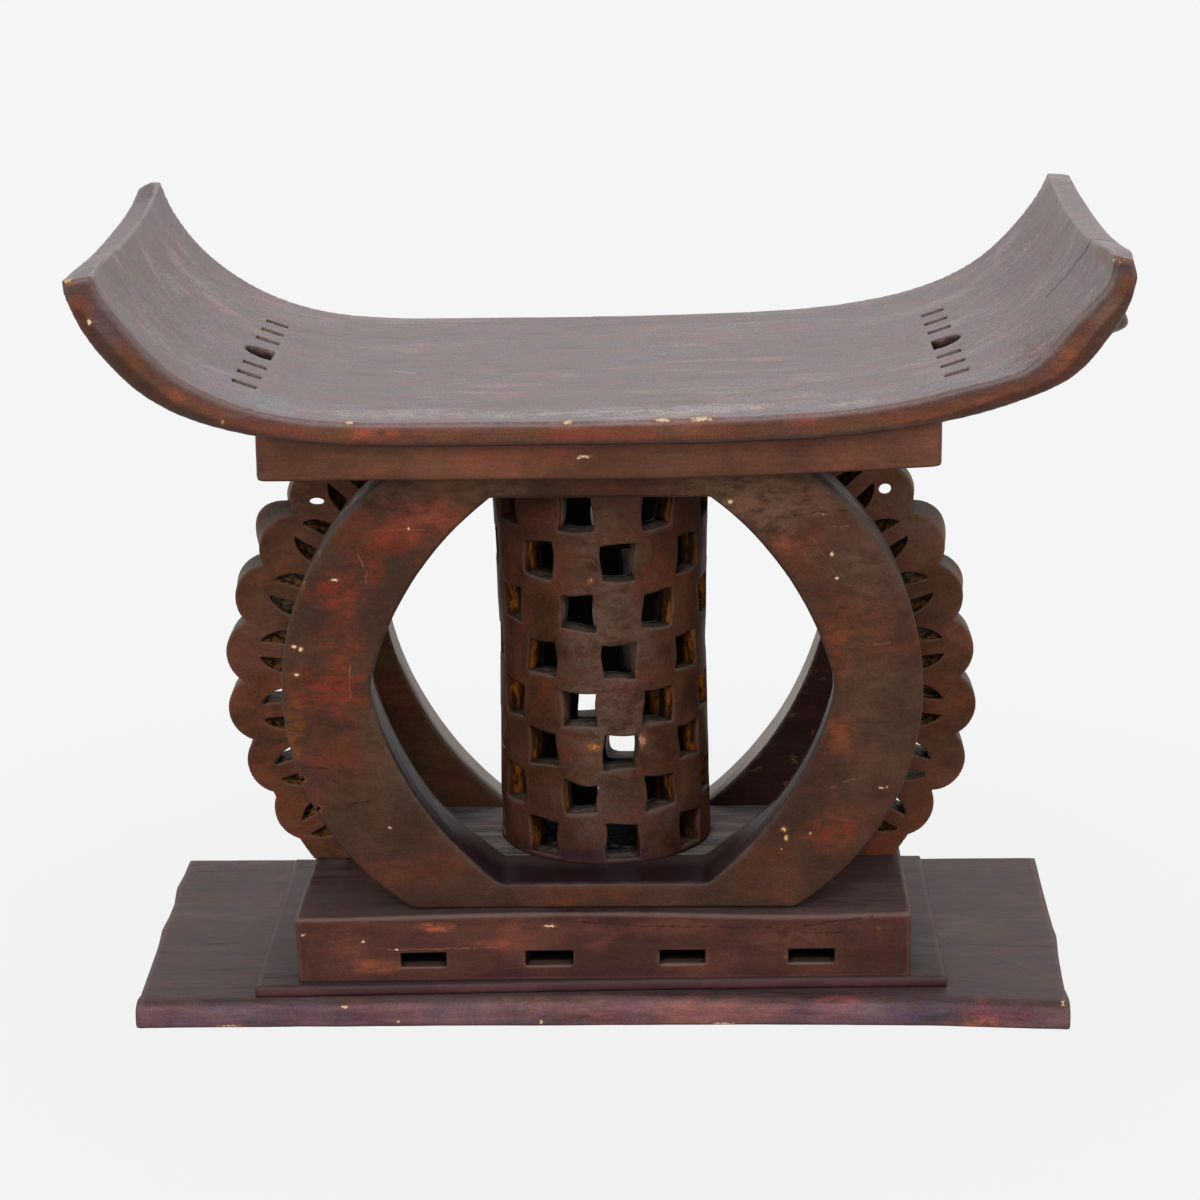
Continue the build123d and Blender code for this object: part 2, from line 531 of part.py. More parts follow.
# ---------------------------------------------------------------- nodes ----
column_dowels = [
    dowel for joint in (PAD_TOP, BLOCK_FOOT)
    for dowel in dowels(column_dowel_places(), SMALL_DOWEL_RADIUS, joint, SMALL_DOWEL_DEPTH, SMALL_DOWEL_DEPTH)
]
nodes = {
    "base_board": make_base_board(),
    "step_board": make_step_board(),
    "plinth": make_plinth(),
    "floor_pad": make_floor_pad(),
    "front_hoop": make_hoop(FRONT_HOOP_PLACE, FRONT_HOOP_THICKNESS),
    "back_hoop": make_hoop(BACK_HOOP_PLACE, BACK_HOOP_THICKNESS),
    "pierced_column": make_column(),
    "left_scallop_panel": make_panel(LEFT, LEFT_PANEL_REACH, LEFT_LOBES_SHORT),
    "right_scallop_panel": make_panel(RIGHT, RIGHT_PANEL_REACH, RIGHT_LOBES_SHORT),
    "seat_block": make_seat_block(),
    "seat": make_seat(),
    "base_dowels": Compound(dowels(
        board_dowel_places(), BOARD_DOWEL_RADIUS, STEP_FOOT, BOARD_DOWEL_IN_BASE,
        STEP_THICKNESS + BOARD_DOWEL_IN_PLINTH)),
    "pad_dowels": Compound(dowels(
        pad_dowel_places(), SMALL_DOWEL_RADIUS, PLINTH_TOP, SMALL_DOWEL_DEPTH, SMALL_DOWEL_DEPTH)),
    "column_dowels": Compound(column_dowels),
    "seat_dowels": Compound(dowels(
        seat_dowel_places(), SEAT_DOWEL_RADIUS, SEAT_FOOT, SEAT_DOWEL_IN_BLOCK, SEAT_DOWEL_IN_SEAT)),
}

os.makedirs("parts", exist_ok=True)
for name, shape in nodes.items():
    export_step(shape, f"parts/{name}.step")
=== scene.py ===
"""The looks of a saddle stool carved in dark stained wood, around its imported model.

Each piece is a copy of its solid, gone over as a carver's tools and long use leave it: edges
rounded, faces a little uneven, ends hewn, cracks and chips where the wood gave way. It then
gets the stain of its place on the stool. Metres, X along the seat, Y to the back, Z up.
"""
import logging
from dataclasses import dataclass
from enum import Enum
from functools import cached_property
from typing import Callable, Optional, Sequence, Union

import bpy
import numpy as np
from mathutils import Matrix, Vector
from mathutils.kdtree import KDTree


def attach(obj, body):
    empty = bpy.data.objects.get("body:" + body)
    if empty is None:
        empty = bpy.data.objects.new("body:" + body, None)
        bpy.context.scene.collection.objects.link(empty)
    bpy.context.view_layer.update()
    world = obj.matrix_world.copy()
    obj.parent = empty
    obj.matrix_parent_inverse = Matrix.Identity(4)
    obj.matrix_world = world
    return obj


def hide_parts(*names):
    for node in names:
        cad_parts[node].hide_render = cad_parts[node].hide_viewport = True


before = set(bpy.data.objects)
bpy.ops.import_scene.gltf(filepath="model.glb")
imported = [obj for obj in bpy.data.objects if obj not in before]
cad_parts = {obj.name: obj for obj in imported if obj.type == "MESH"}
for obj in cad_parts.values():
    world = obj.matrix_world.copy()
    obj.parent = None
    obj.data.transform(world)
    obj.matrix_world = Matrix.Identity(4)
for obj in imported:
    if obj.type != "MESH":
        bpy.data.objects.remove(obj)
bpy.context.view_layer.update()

log = logging.getLogger("stool")

Triple = tuple[float, float, float]
Rgba = tuple[float, float, float, float]
Value = Union[float, Triple, Rgba, "Signal"]

ALL: Triple = (1.0, 1.0, 1.0)
FROM_ABOVE: Triple = (1.0, 1.0, 0.0)
FROM_FRONT: Triple = (1.0, 0.0, 1.0)

# Waves to the metre of the wood's streaks, of its fibres and of its specks.
STREAKS, FIBRES, SPECKS = 95.0, 520.0, 760.0

# From this depth on a stroke is a crack that nothing breaks up.
OPEN_CRACK = 2.0

# Measures that a piece and its stain share, in metres: how high the hoops' middle lies, how far out and
# how high the lobes' centre lies, half the plinth's depth, and the column's radius.
HOOP_HEIGHT = 0.2085
LOBES = (0.021, 0.188)
PLINTH_HALF_DEPTH = 0.1115
COLUMN_RADIUS = 0.0655


def stain(red: float, green: float, blue: float) -> Rgba:
    """Turn a colour as it looks, 0 to 255, into linear light.

    Args:
        red: Red as it looks.
        green: Green as it looks.
        blue: Blue as it looks.

    Returns:
        The colour as a shader takes it.
    """
    def linear(value: float) -> float:
        """Undo the screen's curve for one channel."""
        part = value / 255
        return part / 12.92 if part <= 0.04045 else ((part + 0.055) / 1.055) ** 2.4

    return linear(red), linear(green), linear(blue), 1.0


def metres(values: Sequence[float]) -> Triple:
    """Turn millimetres into metres."""
    return tuple(value / 1000.0 for value in values)


def ramp(values: np.ndarray, low: float, high: float) -> np.ndarray:
    """Rise evenly from 0 at the low value to 1 at the high one. Low may be the higher of the two."""
    return np.clip((values - low) / (high - low), 0.0, 1.0)


# Colours as they look, 0 to 255, like all colours below.
CREAM = (226, 200, 166)
EMBER = (134, 56, 38)
RUST = (114, 58, 40)
# The near black below paints the shade deep inside the holes, slots and niches.
PAINTED_SHADE_BLACK = (26, 17, 12)
AMBER = (156, 92, 34)


# ------------------------------------------------------------------ shader maths ----
def maths(operation: str, turned: bool = False) -> Callable[["Signal", Value], "Signal"]:
    """Make an operator that adds one Math node.

    Args:
        operation: What the node does.
        turned: Whether the other value comes first.

    Returns:
        The operator.
    """
    def operate(signal: "Signal", other: Value) -> "Signal":
        """Join a signal and another value."""
        first, second = (other, signal) if turned else (signal, other)
        return signal.graph.make("ShaderNodeMath", {"operation": operation}, {0: first, 1: second})

    return operate


class Signal:
    """One socket of a shader graph. Arithmetic on it adds Math nodes."""

    __add__ = __radd__ = maths("ADD")
    __sub__, __rsub__ = maths("SUBTRACT"), maths("SUBTRACT", turned=True)
    __mul__, least, most = maths("MULTIPLY"), maths("MINIMUM"), maths("MAXIMUM")

    def __init__(self, graph: "Graph", socket: bpy.types.NodeSocket) -> None:
        """Keep the graph and the socket."""
        self.graph = graph
        self.socket = socket

    def size(self) -> "Signal":
        """This without its sign."""
        return self.graph.make("ShaderNodeMath", {"operation": "ABSOLUTE"}, {0: self})

    def rise(self, low: float, high: float) -> "Signal":
        """Turn the range from low to high into a soft step from 0 to 1.

        Args:
            low: Where the step starts. It may be the higher of the two, for a fall.
            high: Where the step ends.

        Returns:
            The mask.
        """
        return self.graph.make("ShaderNodeMapRange", {"interpolation_type": "SMOOTHSTEP"},
                               {0: self, 1: low, 2: high, 3: 0.0, 4: 1.0})


class Graph:
    """The node graph of a material or of the world."""

    def __init__(self, owner: Union[bpy.types.Material, bpy.types.World],
                 shift: Triple = (0.0, 0.0, 0.0)) -> None:
        """Start the graph with nothing in it.

        Args:
            owner: Whose graph it is.
            shift: Where its noises start, which makes each piece's its own.
        """
        self.owner = owner
        self.shift = shift
        owner.use_nodes = True
        self.tree = owner.node_tree
        self.tree.nodes.clear()

    @cached_property
    def place(self) -> Signal:
        """Where this point lies on the piece."""
        return self.make("ShaderNodeTexCoord", output="Object")

    @cached_property
    def facing(self) -> dict[str, Signal]:
        """Which way this point faces, along each axis."""
        normal = self.make("ShaderNodeNewGeometry", output="Normal")
        return {letter: self.make("ShaderNodeSeparateXYZ", None, {0: normal}, letter)
                for letter in "XYZ"}

    def make(self, kind: str, settings: Optional[dict] = None, sockets: Optional[dict] = None,
             output: Union[int, str] = 0) -> Signal:
        """Add any node.

        Args:
            kind: The node's type.
            settings: Its settings, set first.
            sockets: A value or a signal for each of its sockets.
            output: Which of its outputs is wanted.

        Returns:
            That output.
        """
        node = self.tree.nodes.new(kind)
        for name, value in (settings or {}).items():
            setattr(node, name, value)
        for key, value in (sockets or {}).items():
            if isinstance(value, Signal):
                self.tree.links.new(value.socket, node.inputs[key])
            else:
                node.inputs[key].default_value = value
        return Signal(self, node.outputs[output] if len(node.outputs) else None)

    def vector(self, operation: str, *values: Value, output: Union[int, str] = 0) -> Signal:
        """Add a Vector Math node."""
        return self.make("ShaderNodeVectorMath", {"operation": operation}, dict(enumerate(values)), output)

    def length(self, vector: Signal) -> Signal:
        """How long a vector is."""
        return self.vector("LENGTH", vector, output="Value")

    def axis(self, letter: str) -> Signal:
        """Where this point lies along one axis."""
        return self.make("ShaderNodeSeparateXYZ", None, {0: self.place}, letter)

    def noise(self, scale: float, stretch: Triple = ALL, detail: float = 3.0, roughness: float = 0.5,
              shift: Optional[Triple] = None, output: int = 0) -> Signal:
        """Soft noise over the piece.

        Args:
            scale: How many waves to the metre.
            stretch: How much faster it changes along each axis.
            detail: How many finer waves are added.
            roughness: How strong these are.
            shift: Where it starts, if not where the graph's noises do.
            output: 0 for a number, 1 for a colour.

        Returns:
            The noise, mostly between 0.3 and 0.7.
        """
        place = self.vector("MULTIPLY_ADD", self.place, stretch, shift or self.shift)
        return self.make("ShaderNodeTexNoise", None, {"Vector": place, "Scale": scale, "Detail": detail,
                                                      "Roughness": roughness}, output)

    def mix(self, share: Value, first: Value, second: Value) -> Signal:
        """Mix two colours, each a signal or a colour as it looks."""
        first, second = (part if isinstance(part, Signal) else stain(*part) for part in (first, second))
        return self.make("ShaderNodeMix", {"data_type": "RGBA", "clamp_factor": True},
                         {0: share, 6: first, 7: second}, 2)

    def brighten(self, colour: Value, factor: Signal) -> Signal:
        """A colour times a number that changes over the surface."""
        base = colour if isinstance(colour, Signal) else colour[:3]
        return self.make("ShaderNodeVectorMath", {"operation": "SCALE"}, {0: base, "Scale": factor})

    def tinge(self, colour: Signal, scale: float, strength: float) -> Signal:
        """Let the hue drift over the surface.

        Args:
            colour: The colour so far.
            scale: How many waves to the metre.
            strength: How far it drifts.

        Returns:
            The new colour.
        """
        drift = self.noise(scale, roughness=0.6, output=1)
        rest = 1.0 - strength / 2
        factor = self.vector("MULTIPLY_ADD", drift, (strength, strength * 0.8, strength),
                             (rest, rest + strength * 0.1, rest))
        return self.vector("MULTIPLY", colour, factor)

    def away(self, place: Triple, reach: Triple) -> Signal:
        """How far a point lies from a place.

        Args:
            place: The place.
            reach: The length along each axis that counts as one.

        Returns:
            The distance.
        """
        share = tuple(1.0 / part for part in reach)
        start = tuple(-middle / part for middle, part in zip(place, reach))
        return self.length(self.vector("MULTIPLY_ADD", self.place, share, start))

    def attribute(self, name: str) -> Signal:
        """A number that the piece's mesh carries."""
        return self.make("ShaderNodeAttribute", {"attribute_name": name}, None, "Fac")


# ---------------------------------------------------------------------- finishes ----
@dataclass(frozen=True)
class Patch:
    """A blotch of another tone."""

    place: Triple
    reach: Triple
    tone: Triple
    strength: float


@dataclass(frozen=True)
class Stroke:
    """A crack or a scratch along a line."""

    path: tuple[Triple, ...]
    width: float
    tone: Triple
    depth: float
    seen: Triple

    def mask(self, graph: Graph, wander: Signal) -> Signal:
        """Show where the stroke runs.

        Args:
            graph: The material's graph.
            wander: The point's place, shaken a little, so that the stroke isn't straight.

        Returns:
            1 on the stroke, 0 beside it.
        """
        flat = graph.vector("MULTIPLY", wander, self.seen)
        nearest: Optional[Signal] = None
        for start, end in zip(self.path, self.path[1:]):
            run = tuple((b - a) * keep for a, b, keep in zip(start, end, self.seen))
            square = sum(part * part for part in run)
            foot = tuple(a * keep for a, keep in zip(start, self.seen))
            from_start = graph.vector("SUBTRACT", flat, foot)
            along = graph.vector("DOT_PRODUCT", from_start, tuple(part / square for part in run),
                                 output="Value")
            nearby = graph.brighten(run, along.most(0.0).least(1.0))
            distance = graph.length(graph.vector("SUBTRACT", from_start, nearby))
            nearest = distance if nearest is None else nearest.least(distance)
        return nearest.rise(self.width * 0.62, self.width * 0.3)


@dataclass(frozen=True)
class Chip:
    """A spot where the stain is knocked off and bare wood shows."""

    place: Triple
    reach: Triple
    tone: Triple = CREAM


def on_face(y: float, reach: float, *rows: Sequence) -> tuple[Sequence, ...]:
    """Add to rows of x, z, half width, half height and more where the face lies and how deep they reach."""
    return tuple((row[0], y, row[1], row[2], reach, *row[3:]) for row in rows)


def blots(*rows: Sequence) -> tuple[Patch, ...]:
    """Patches, each from its place and its reach in millimetres, its tone and its strength."""
    return tuple(Patch(metres(row[:3]), metres(row[3:6]), *row[6:]) for row in rows)


def nicks(*rows: Sequence) -> tuple[Chip, ...]:
    """Chips, each from its place and its reach in millimetres, and its tone if it isn't cream."""
    return tuple(Chip(metres(row[:3]), metres(row[3:6]), *row[6:]) for row in rows)


def lines(seen: Triple, *rows: Sequence) -> tuple[Stroke, ...]:
    """Cracks and scratches on faces that look the same way.

    Args:
        seen: From where they are seen, which leaves two axes.
        rows: For each its width, tone and depth, then its points along these axes, in millimetres.

    Returns:
        The strokes.
    """
    def point(first: float, second: float) -> Triple:
        """One point of a line."""
        return metres((first, second, 0.0) if seen == FROM_ABOVE else (first, 0.0, second))

    return tuple(Stroke(tuple(map(point, row[3::2], row[4::2])), row[0] / 1000.0, row[1], row[2], seen)
                 for row in rows)


@dataclass(frozen=True)
class StainedWood:
    """Dark stained wood: mottled, streaked along its grain, lighter on top as dust and painted sheen, and
    worn at its edges.
    """

    name: str
    dark: Triple
    light: Triple
    red: Triple
    top: Triple
    worn: Triple
    grain: Triple = (0.12, 1.0, 1.0)
    mottle: float = 16.0
    redness: tuple[float, float] = (0.5, 0.66)
    top_from: tuple[float, float] = (0.35, 0.8)
    blur: float = 0.5
    wear: float = 0.6
    bloom: float = 0.35
    streaks: float = 0.4
    tinge: float = 0.45
    roughness: float = 0.45
    index: float = 1.2
    relief: float = 0.0005
    grit: float = 0.7
    lively: float = 1.0
    chafed: Triple = (126, 78, 50)
    shift: Triple = (0.0, 0.0, 0.0)
    patches: tuple[Patch, ...] = ()
    strokes: tuple[Stroke, ...] = ()
    chips: tuple[Chip, ...] = ()

    def dress(self) -> bpy.types.Material:
        """Build the material.

        Returns:
            The material, ready for a piece's slot.
        """
        graph = Graph(bpy.data.materials.new(self.name), self.shift)
        streak = graph.noise(STREAKS, self.grain, detail=4.0, roughness=0.62)
        fibre = graph.noise(FIBRES, self.grain, detail=2.0, roughness=0.6)
        speck = graph.noise(SPECKS, detail=2.0, roughness=0.6)
        ragged = graph.noise(34.0, detail=5.0, roughness=0.68) - 0.5
        colour = self.local(graph, self.body(graph, ragged))
        shade = (streak - 0.5) * self.streaks * 2.0 + (fibre - 0.5) * self.streaks
        shade = shade + (speck - 0.5) * self.grit
        lively = graph.facing["Z"].rise(0.3, 0.7) * (self.lively - 1.0) + 1.0
        colour = graph.brighten(colour, (shade * lively + 1.0).most(0.25))
        for scale in (42.0, 560.0):
            colour = graph.tinge(colour, scale, self.tinge)
        colour = self.wear_and_hollow_shade(graph, colour)
        height = streak * 0.5 + fibre * 0.3 + graph.noise(45.0, detail=2.0) * 1.2
        rough = self.roughness + (streak - 0.5) * 0.3 + (speck - 0.5) * 0.1
        if self.strokes:
            shake = graph.noise(160.0, roughness=0.65, output=1)
            strayed = graph.vector("MULTIPLY_ADD", shake, (0.003,) * 3, (-0.0015,) * 3)
            wander = graph.vector("ADD", graph.place, strayed)
            faint = graph.noise(210.0, roughness=0.7).rise(0.38, 0.60) * 0.7
            for stroke in self.strokes:
                cut = stroke.mask(graph, wander) * (faint if stroke.depth < OPEN_CRACK else 0.9)
                colour = graph.mix(cut, colour, stroke.tone)
                height = height - cut * stroke.depth
        if self.chips:
            crumbs = graph.noise(560.0, detail=4.0, roughness=0.7, shift=(0.0, 0.0, 0.0)) - 0.5
            for chip in self.chips:
                away = graph.away(chip.place, chip.reach)
                torn = away * 1.3 + crumbs * 3.2
                bare = torn.rise(1.0, 0.6) * away.rise(1.6, 1.2)
                colour = graph.mix(torn.rise(1.9, 1.1) * away.rise(2.4, 1.6) * 0.6, colour, self.chafed)
                colour = graph.mix(bare, colour, chip.tone)
                height = height - bare * 0.8
                rough = rough + bare * 0.2
        normal = graph.make("ShaderNodeBump", None,
                            {"Strength": 0.7, "Distance": self.relief, "Height": height})
        shader = graph.make("ShaderNodeBsdfPrincipled", None,
                            {"Base Color": colour, "Roughness": rough, "Normal": normal, "IOR": self.index})
        graph.make("ShaderNodeOutputMaterial", None, {"Surface": shader})
        return graph.owner

    def body(self, graph: Graph, ragged: Signal) -> Signal:
        """The stain itself: two tones, blotches of red, dust and painted sheen on top, painted shade on
        faces that look down, and patches.

        Args:
            graph: The material's graph.
            ragged: The noise that frays the patches.

        Returns:
            The colour.
        """
        broad = graph.noise(self.mottle, detail=4.0, roughness=0.6)
        colour = graph.mix(broad.rise(0.36, 0.64), self.dark, self.light)
        warm = graph.noise(self.mottle * 1.3, (0.6, 1.0, 1.0), detail=5.0, roughness=0.65,
                           shift=(self.shift[2] + 3.0, 5.0, 1.0))
        colour = graph.mix(warm.rise(*self.redness), colour, self.red)
        lie = graph.noise(30.0, self.grain)
        # Up-facing faces turn to the top tone: partly dust, partly painted sheen.
        dust_and_sheen = (graph.facing["Z"] + (lie - 0.5) * self.blur).rise(*self.top_from)
        bloom = graph.noise(24.0, (0.3, 1.0, 1.0), detail=6.0, roughness=0.7).rise(0.5, 0.7)
        hair = (graph.noise(34.0, (0.07, 1.0, 1.0), detail=4.0) - 0.5).size().rise(0.012, 0.0)
        line = hair * graph.noise(11.0).rise(0.44, 0.56) * 0.5
        top = graph.mix(bloom * self.bloom, self.top, self.worn)
        colour = graph.mix(dust_and_sheen, colour, graph.brighten(top, 1.0 - line))
        # Painted shade: faces that look down are darkened.
        colour = graph.brighten(colour, 1.0 - graph.facing["Z"].rise(-0.15, -0.75) * 0.55)
        flecks = graph.noise(170.0, (0.5, 1.0, 1.0), detail=4.0, roughness=0.7).rise(0.3, 0.62)
        for patch in self.patches:
            near = (graph.away(patch.place, patch.reach) + ragged * 2.6).rise(1.3, 0.2)
            colour = graph.mix(near * flecks * patch.strength, colour, patch.tone)
        return colour

    def local(self, graph: Graph, colour: Signal) -> Signal:
        """Change the stain in places of this piece's own. Plain wood has none."""
        return colour

    def wear_and_hollow_shade(self, graph: Graph, colour: Signal) -> Signal:
        """Rub the edges light, most where they face up, and darken the hollows as painted shade.

        Args:
            graph: The material's graph.
            colour: The stain.

        Returns:
            The worn colour.
        """
        edge, hollow = graph.attribute("edge"), graph.attribute("hollow")
        broken = graph.noise(110.0, detail=4.0, roughness=0.65)
        up = graph.facing["Z"].rise(-0.2, 0.6) * 0.75 + 0.25
        rubbed = (edge + (broken - 0.5) * 0.7).rise(0.3, 1.1) * up * self.wear
        # The hollow attribute darkens corners and creases: painted shade.
        return graph.brighten(graph.mix(rubbed, colour, self.worn), 1.0 - hollow * 0.6)


@dataclass(frozen=True)
class HoopWood(StainedWood):
    """A hoop's wood, with painted shade and painted light on the wall of its opening."""

    near: Triple = (46, 30, 33)
    far: Triple = (74, 60, 58)
    high: Triple = (78, 60, 50)
    turn: tuple[float, float] = (-0.078, -0.056)

    def local(self, graph: Graph, colour: Signal) -> Signal:
        """Paint the opening's wall: painted shade low and near the face, lighter to the far edge and the
        top.

        Args:
            graph: The material's graph.
            colour: The stain so far.

        Returns:
            The colour with them.
        """
        flat = graph.vector("MULTIPLY", graph.vector("SUBTRACT", graph.place, (0.0, 0.0, HOOP_HEIGHT)),
                            FROM_FRONT)
        wall = graph.length(flat).rise(0.153, 0.150) * graph.facing["Y"].size().rise(0.8, 0.5)
        ragged = (graph.noise(30.0) - 0.5) * 0.02
        turned = (graph.axis("Y") + ragged).rise(*self.turn).most(graph.axis("X").rise(0.06, 0.10))
        # The near tone is painted shade; the far and high tones are partly painted light, partly wear and
        # dust.
        tone = graph.mix(turned, self.near, self.far)
        tone = graph.mix((graph.axis("Z") + ragged * 2.0).rise(0.165, 0.190), tone, self.high)
        return graph.mix(wall, colour, tone)


@dataclass(frozen=True)
class PlinthWood(StainedWood):
    """The plinth's wood: its niches are painted black inside as painted shade, with a grey lip."""

    def local(self, graph: Graph, colour: Signal) -> Signal:
        """Show the niches' walls in painted shade.

        Args:
            graph: The material's graph.
            colour: The stain so far.

        Returns:
            The colour with them.
        """
        depth, along, height = graph.attribute("depth"), graph.axis("X").size(), graph.axis("Z")
        inside = depth.rise(0.0016, 0.0032) * along.rise(0.180, 0.178) * height.rise(0.0600, 0.0590)
        lip = graph.facing["Z"].rise(0.4, 0.8) * depth.rise(0.011, 0.006)
        return graph.mix(inside * height.rise(0.0262, 0.0280), colour, graph.mix(lip, PAINTED_SHADE_BLACK, (78, 62, 52)))


@dataclass(frozen=True)
class ColumnWood(StainedWood):
    """The column's wood: amber on the walls of its holes, grey on their sills, and painted shade, dark then
    black, inside.
    """

    sill: Triple = (104, 88, 78)

    def local(self, graph: Graph, colour: Signal) -> Signal:
        """Show the holes' walls.

        Args:
            graph: The material's graph.
            colour: The stain so far.

        Returns:
            The colour with them.
        """
        depth = COLUMN_RADIUS - graph.length(graph.vector("MULTIPLY", graph.place, FROM_ABOVE))
        rows = graph.noise(150.0, (1.0, 1.0, 0.3), detail=4.0, roughness=0.7)
        side = graph.facing["Z"].size().rise(0.6, 0.3)
        golden = rows.rise(0.44, 0.60) * side * depth.rise(0.013, 0.005)
        # The dark wall tone and the black deeper in are painted shade inside the holes.
        wall = graph.mix(golden, (50, 30, 18), AMBER)
        lip = graph.mix(rows.rise(0.4, 0.6), (70, 56, 44), self.sill)
        wall = graph.mix(graph.facing["Z"].rise(0.4, 0.8), wall, lip)
        wall = graph.mix(depth.rise(0.008, 0.014), wall, PAINTED_SHADE_BLACK)
        return graph.mix(depth.rise(0.0012, 0.0036), colour, wall)


@dataclass(frozen=True)
class PanelWood(StainedWood):
    """A side panel's wood: gold sills and dark walls, as painted shade, in its slits."""

    side: float = 1.0

    def local(self, graph: Graph, colour: Signal) -> Signal:
        """Show the slits' walls.

        Args:
            graph: The material's graph.
            colour: The stain so far.

        Returns:
            The colour with them.
        """
        centre, blur = (self.side * LOBES[0], 0.0, LOBES[1]), 0.0015
        ring = 0.1995 if self.side < 0 else 0.1985
        flat = graph.vector("MULTIPLY", graph.vector("SUBTRACT", graph.place, centre), FROM_FRONT)
        within = graph.length(flat).rise(ring + blur, ring - blur)
        wall = within * graph.facing["Y"].size().rise(0.85, 0.5)
        spots = graph.noise(210.0, roughness=0.65)
        sill = graph.facing["Z"].rise(0.1, 0.6) * spots.rise(0.42, 0.60)
        # The dark wall tone is painted shade inside the slits.
        return graph.mix(wall, colour, graph.mix(sill, (44, 30, 20), (138, 92, 42)))


@dataclass(frozen=True)
class SeatWood(StainedWood):
    """The seat's wood: painted shade across its rounded front edge, and painted shade on the walls of its
    slots, here and there bare.
    """

    brow: float = 0.8

    def local(self, graph: Graph, colour: Signal) -> Signal:
        """Paint shade on the slots' walls and across the rounded edge.

        Args:
            graph: The material's graph.
            colour: The stain so far.

        Returns:
            The colour with them.
        """
        along, across = graph.axis("X").size(), graph.axis("Y").size()
        row = along.rise(0.2005, 0.2015) * along.rise(0.2225, 0.2215) * across.rise(0.135, 0.130)
        wall = row * graph.facing["Z"].size().rise(0.85, 0.6)
        bare = graph.noise(170.0, roughness=0.6).rise(0.5, 0.62)
        back = graph.axis("Y").rise(0.0, 0.06) * graph.axis("X").rise(0.0, -0.01) * 0.8 + 0.2
        colour = graph.mix(wall, colour, graph.mix(bare * back, PAINTED_SHADE_BLACK, (196, 152, 96)))
        sunk = graph.attribute("sunk") + (graph.noise(60.0, detail=4.0) - 0.5) * 0.005
        front = graph.facing["Y"].size().rise(0.3, 0.7) * along.rise(0.12, 0.24)
        # The brow band under the top edge and the dark underside of the nose are painted shade across the
        # rounded edge.
        colour = graph.mix(front * sunk.rise(0.0068, 0.0030) * self.brow, colour, (74, 58, 56))
        low = sunk.rise(0.0086, 0.0128).most(along.rise(0.25, 0.17)).least(sunk.rise(0.0110, 0.0142) * 0.8)
        return graph.mix(low * graph.facing["Z"].rise(0.75, 0.5) * 0.85, colour, (50, 24, 10))


@dataclass(frozen=True)
class DowelWood:
    """Bare wood of the hidden dowels."""

    name: str
    tone: Triple = (176, 142, 104)

    def dress(self) -> bpy.types.Material:
        """Build the material.

        Returns:
            The material, ready for a node's slot.
        """
        graph = Graph(bpy.data.materials.new(self.name))
        streak = graph.noise(300.0, (1.0, 1.0, 0.1))
        colour = graph.brighten(stain(*self.tone), 0.75 + streak * 0.5)
        normal = graph.make("ShaderNodeBump", None, {"Strength": 0.5, "Distance": 0.0003, "Height": streak})
        shader = graph.make("ShaderNodeBsdfPrincipled", None,
                            {"Base Color": colour, "Roughness": 0.6 + streak * 0.1, "Normal": normal})
        graph.make("ShaderNodeOutputMaterial", None, {"Surface": shader})
        return graph.owner


# ---------------------------------------------------------------------- carving ----
class Grain(Enum):
    """How coarse the mesh of a piece is, by the size of its details."""

    FINEST = 0.00125
    FINE = 0.00175
    MEDIUM = 0.002
    BROAD = 0.0024


@dataclass(frozen=True)
class Hole:
    """An oval hole from the front to the back.

    Attributes:
        place: Its middle, in metres.
        half: Half its width and half its height, in metres.
        slant: How far it goes to the right and up for each metre to the back.
    """

    place: Triple
    half: tuple[float, float]
    slant: tuple[float, float]

    def cutter(self) -> bpy.types.Object:
        """Make the solid that cuts it.

        Returns:
            The new object.
        """
        bpy.ops.object.select_all(action="DESELECT")
        bpy.ops.mesh.primitive_cylinder_add(vertices=40, radius=1.0, depth=0.08)
        cutter = bpy.context.object
        for vertex in cutter.data.vertices:
            wide, high, deep = vertex.co
            vertex.co = (self.place[0] + wide * self.half[0] + deep * self.slant[0],
                         self.place[1] + deep,
                         self.place[2] - high * self.half[1] + deep * self.slant[1])
        return cutter


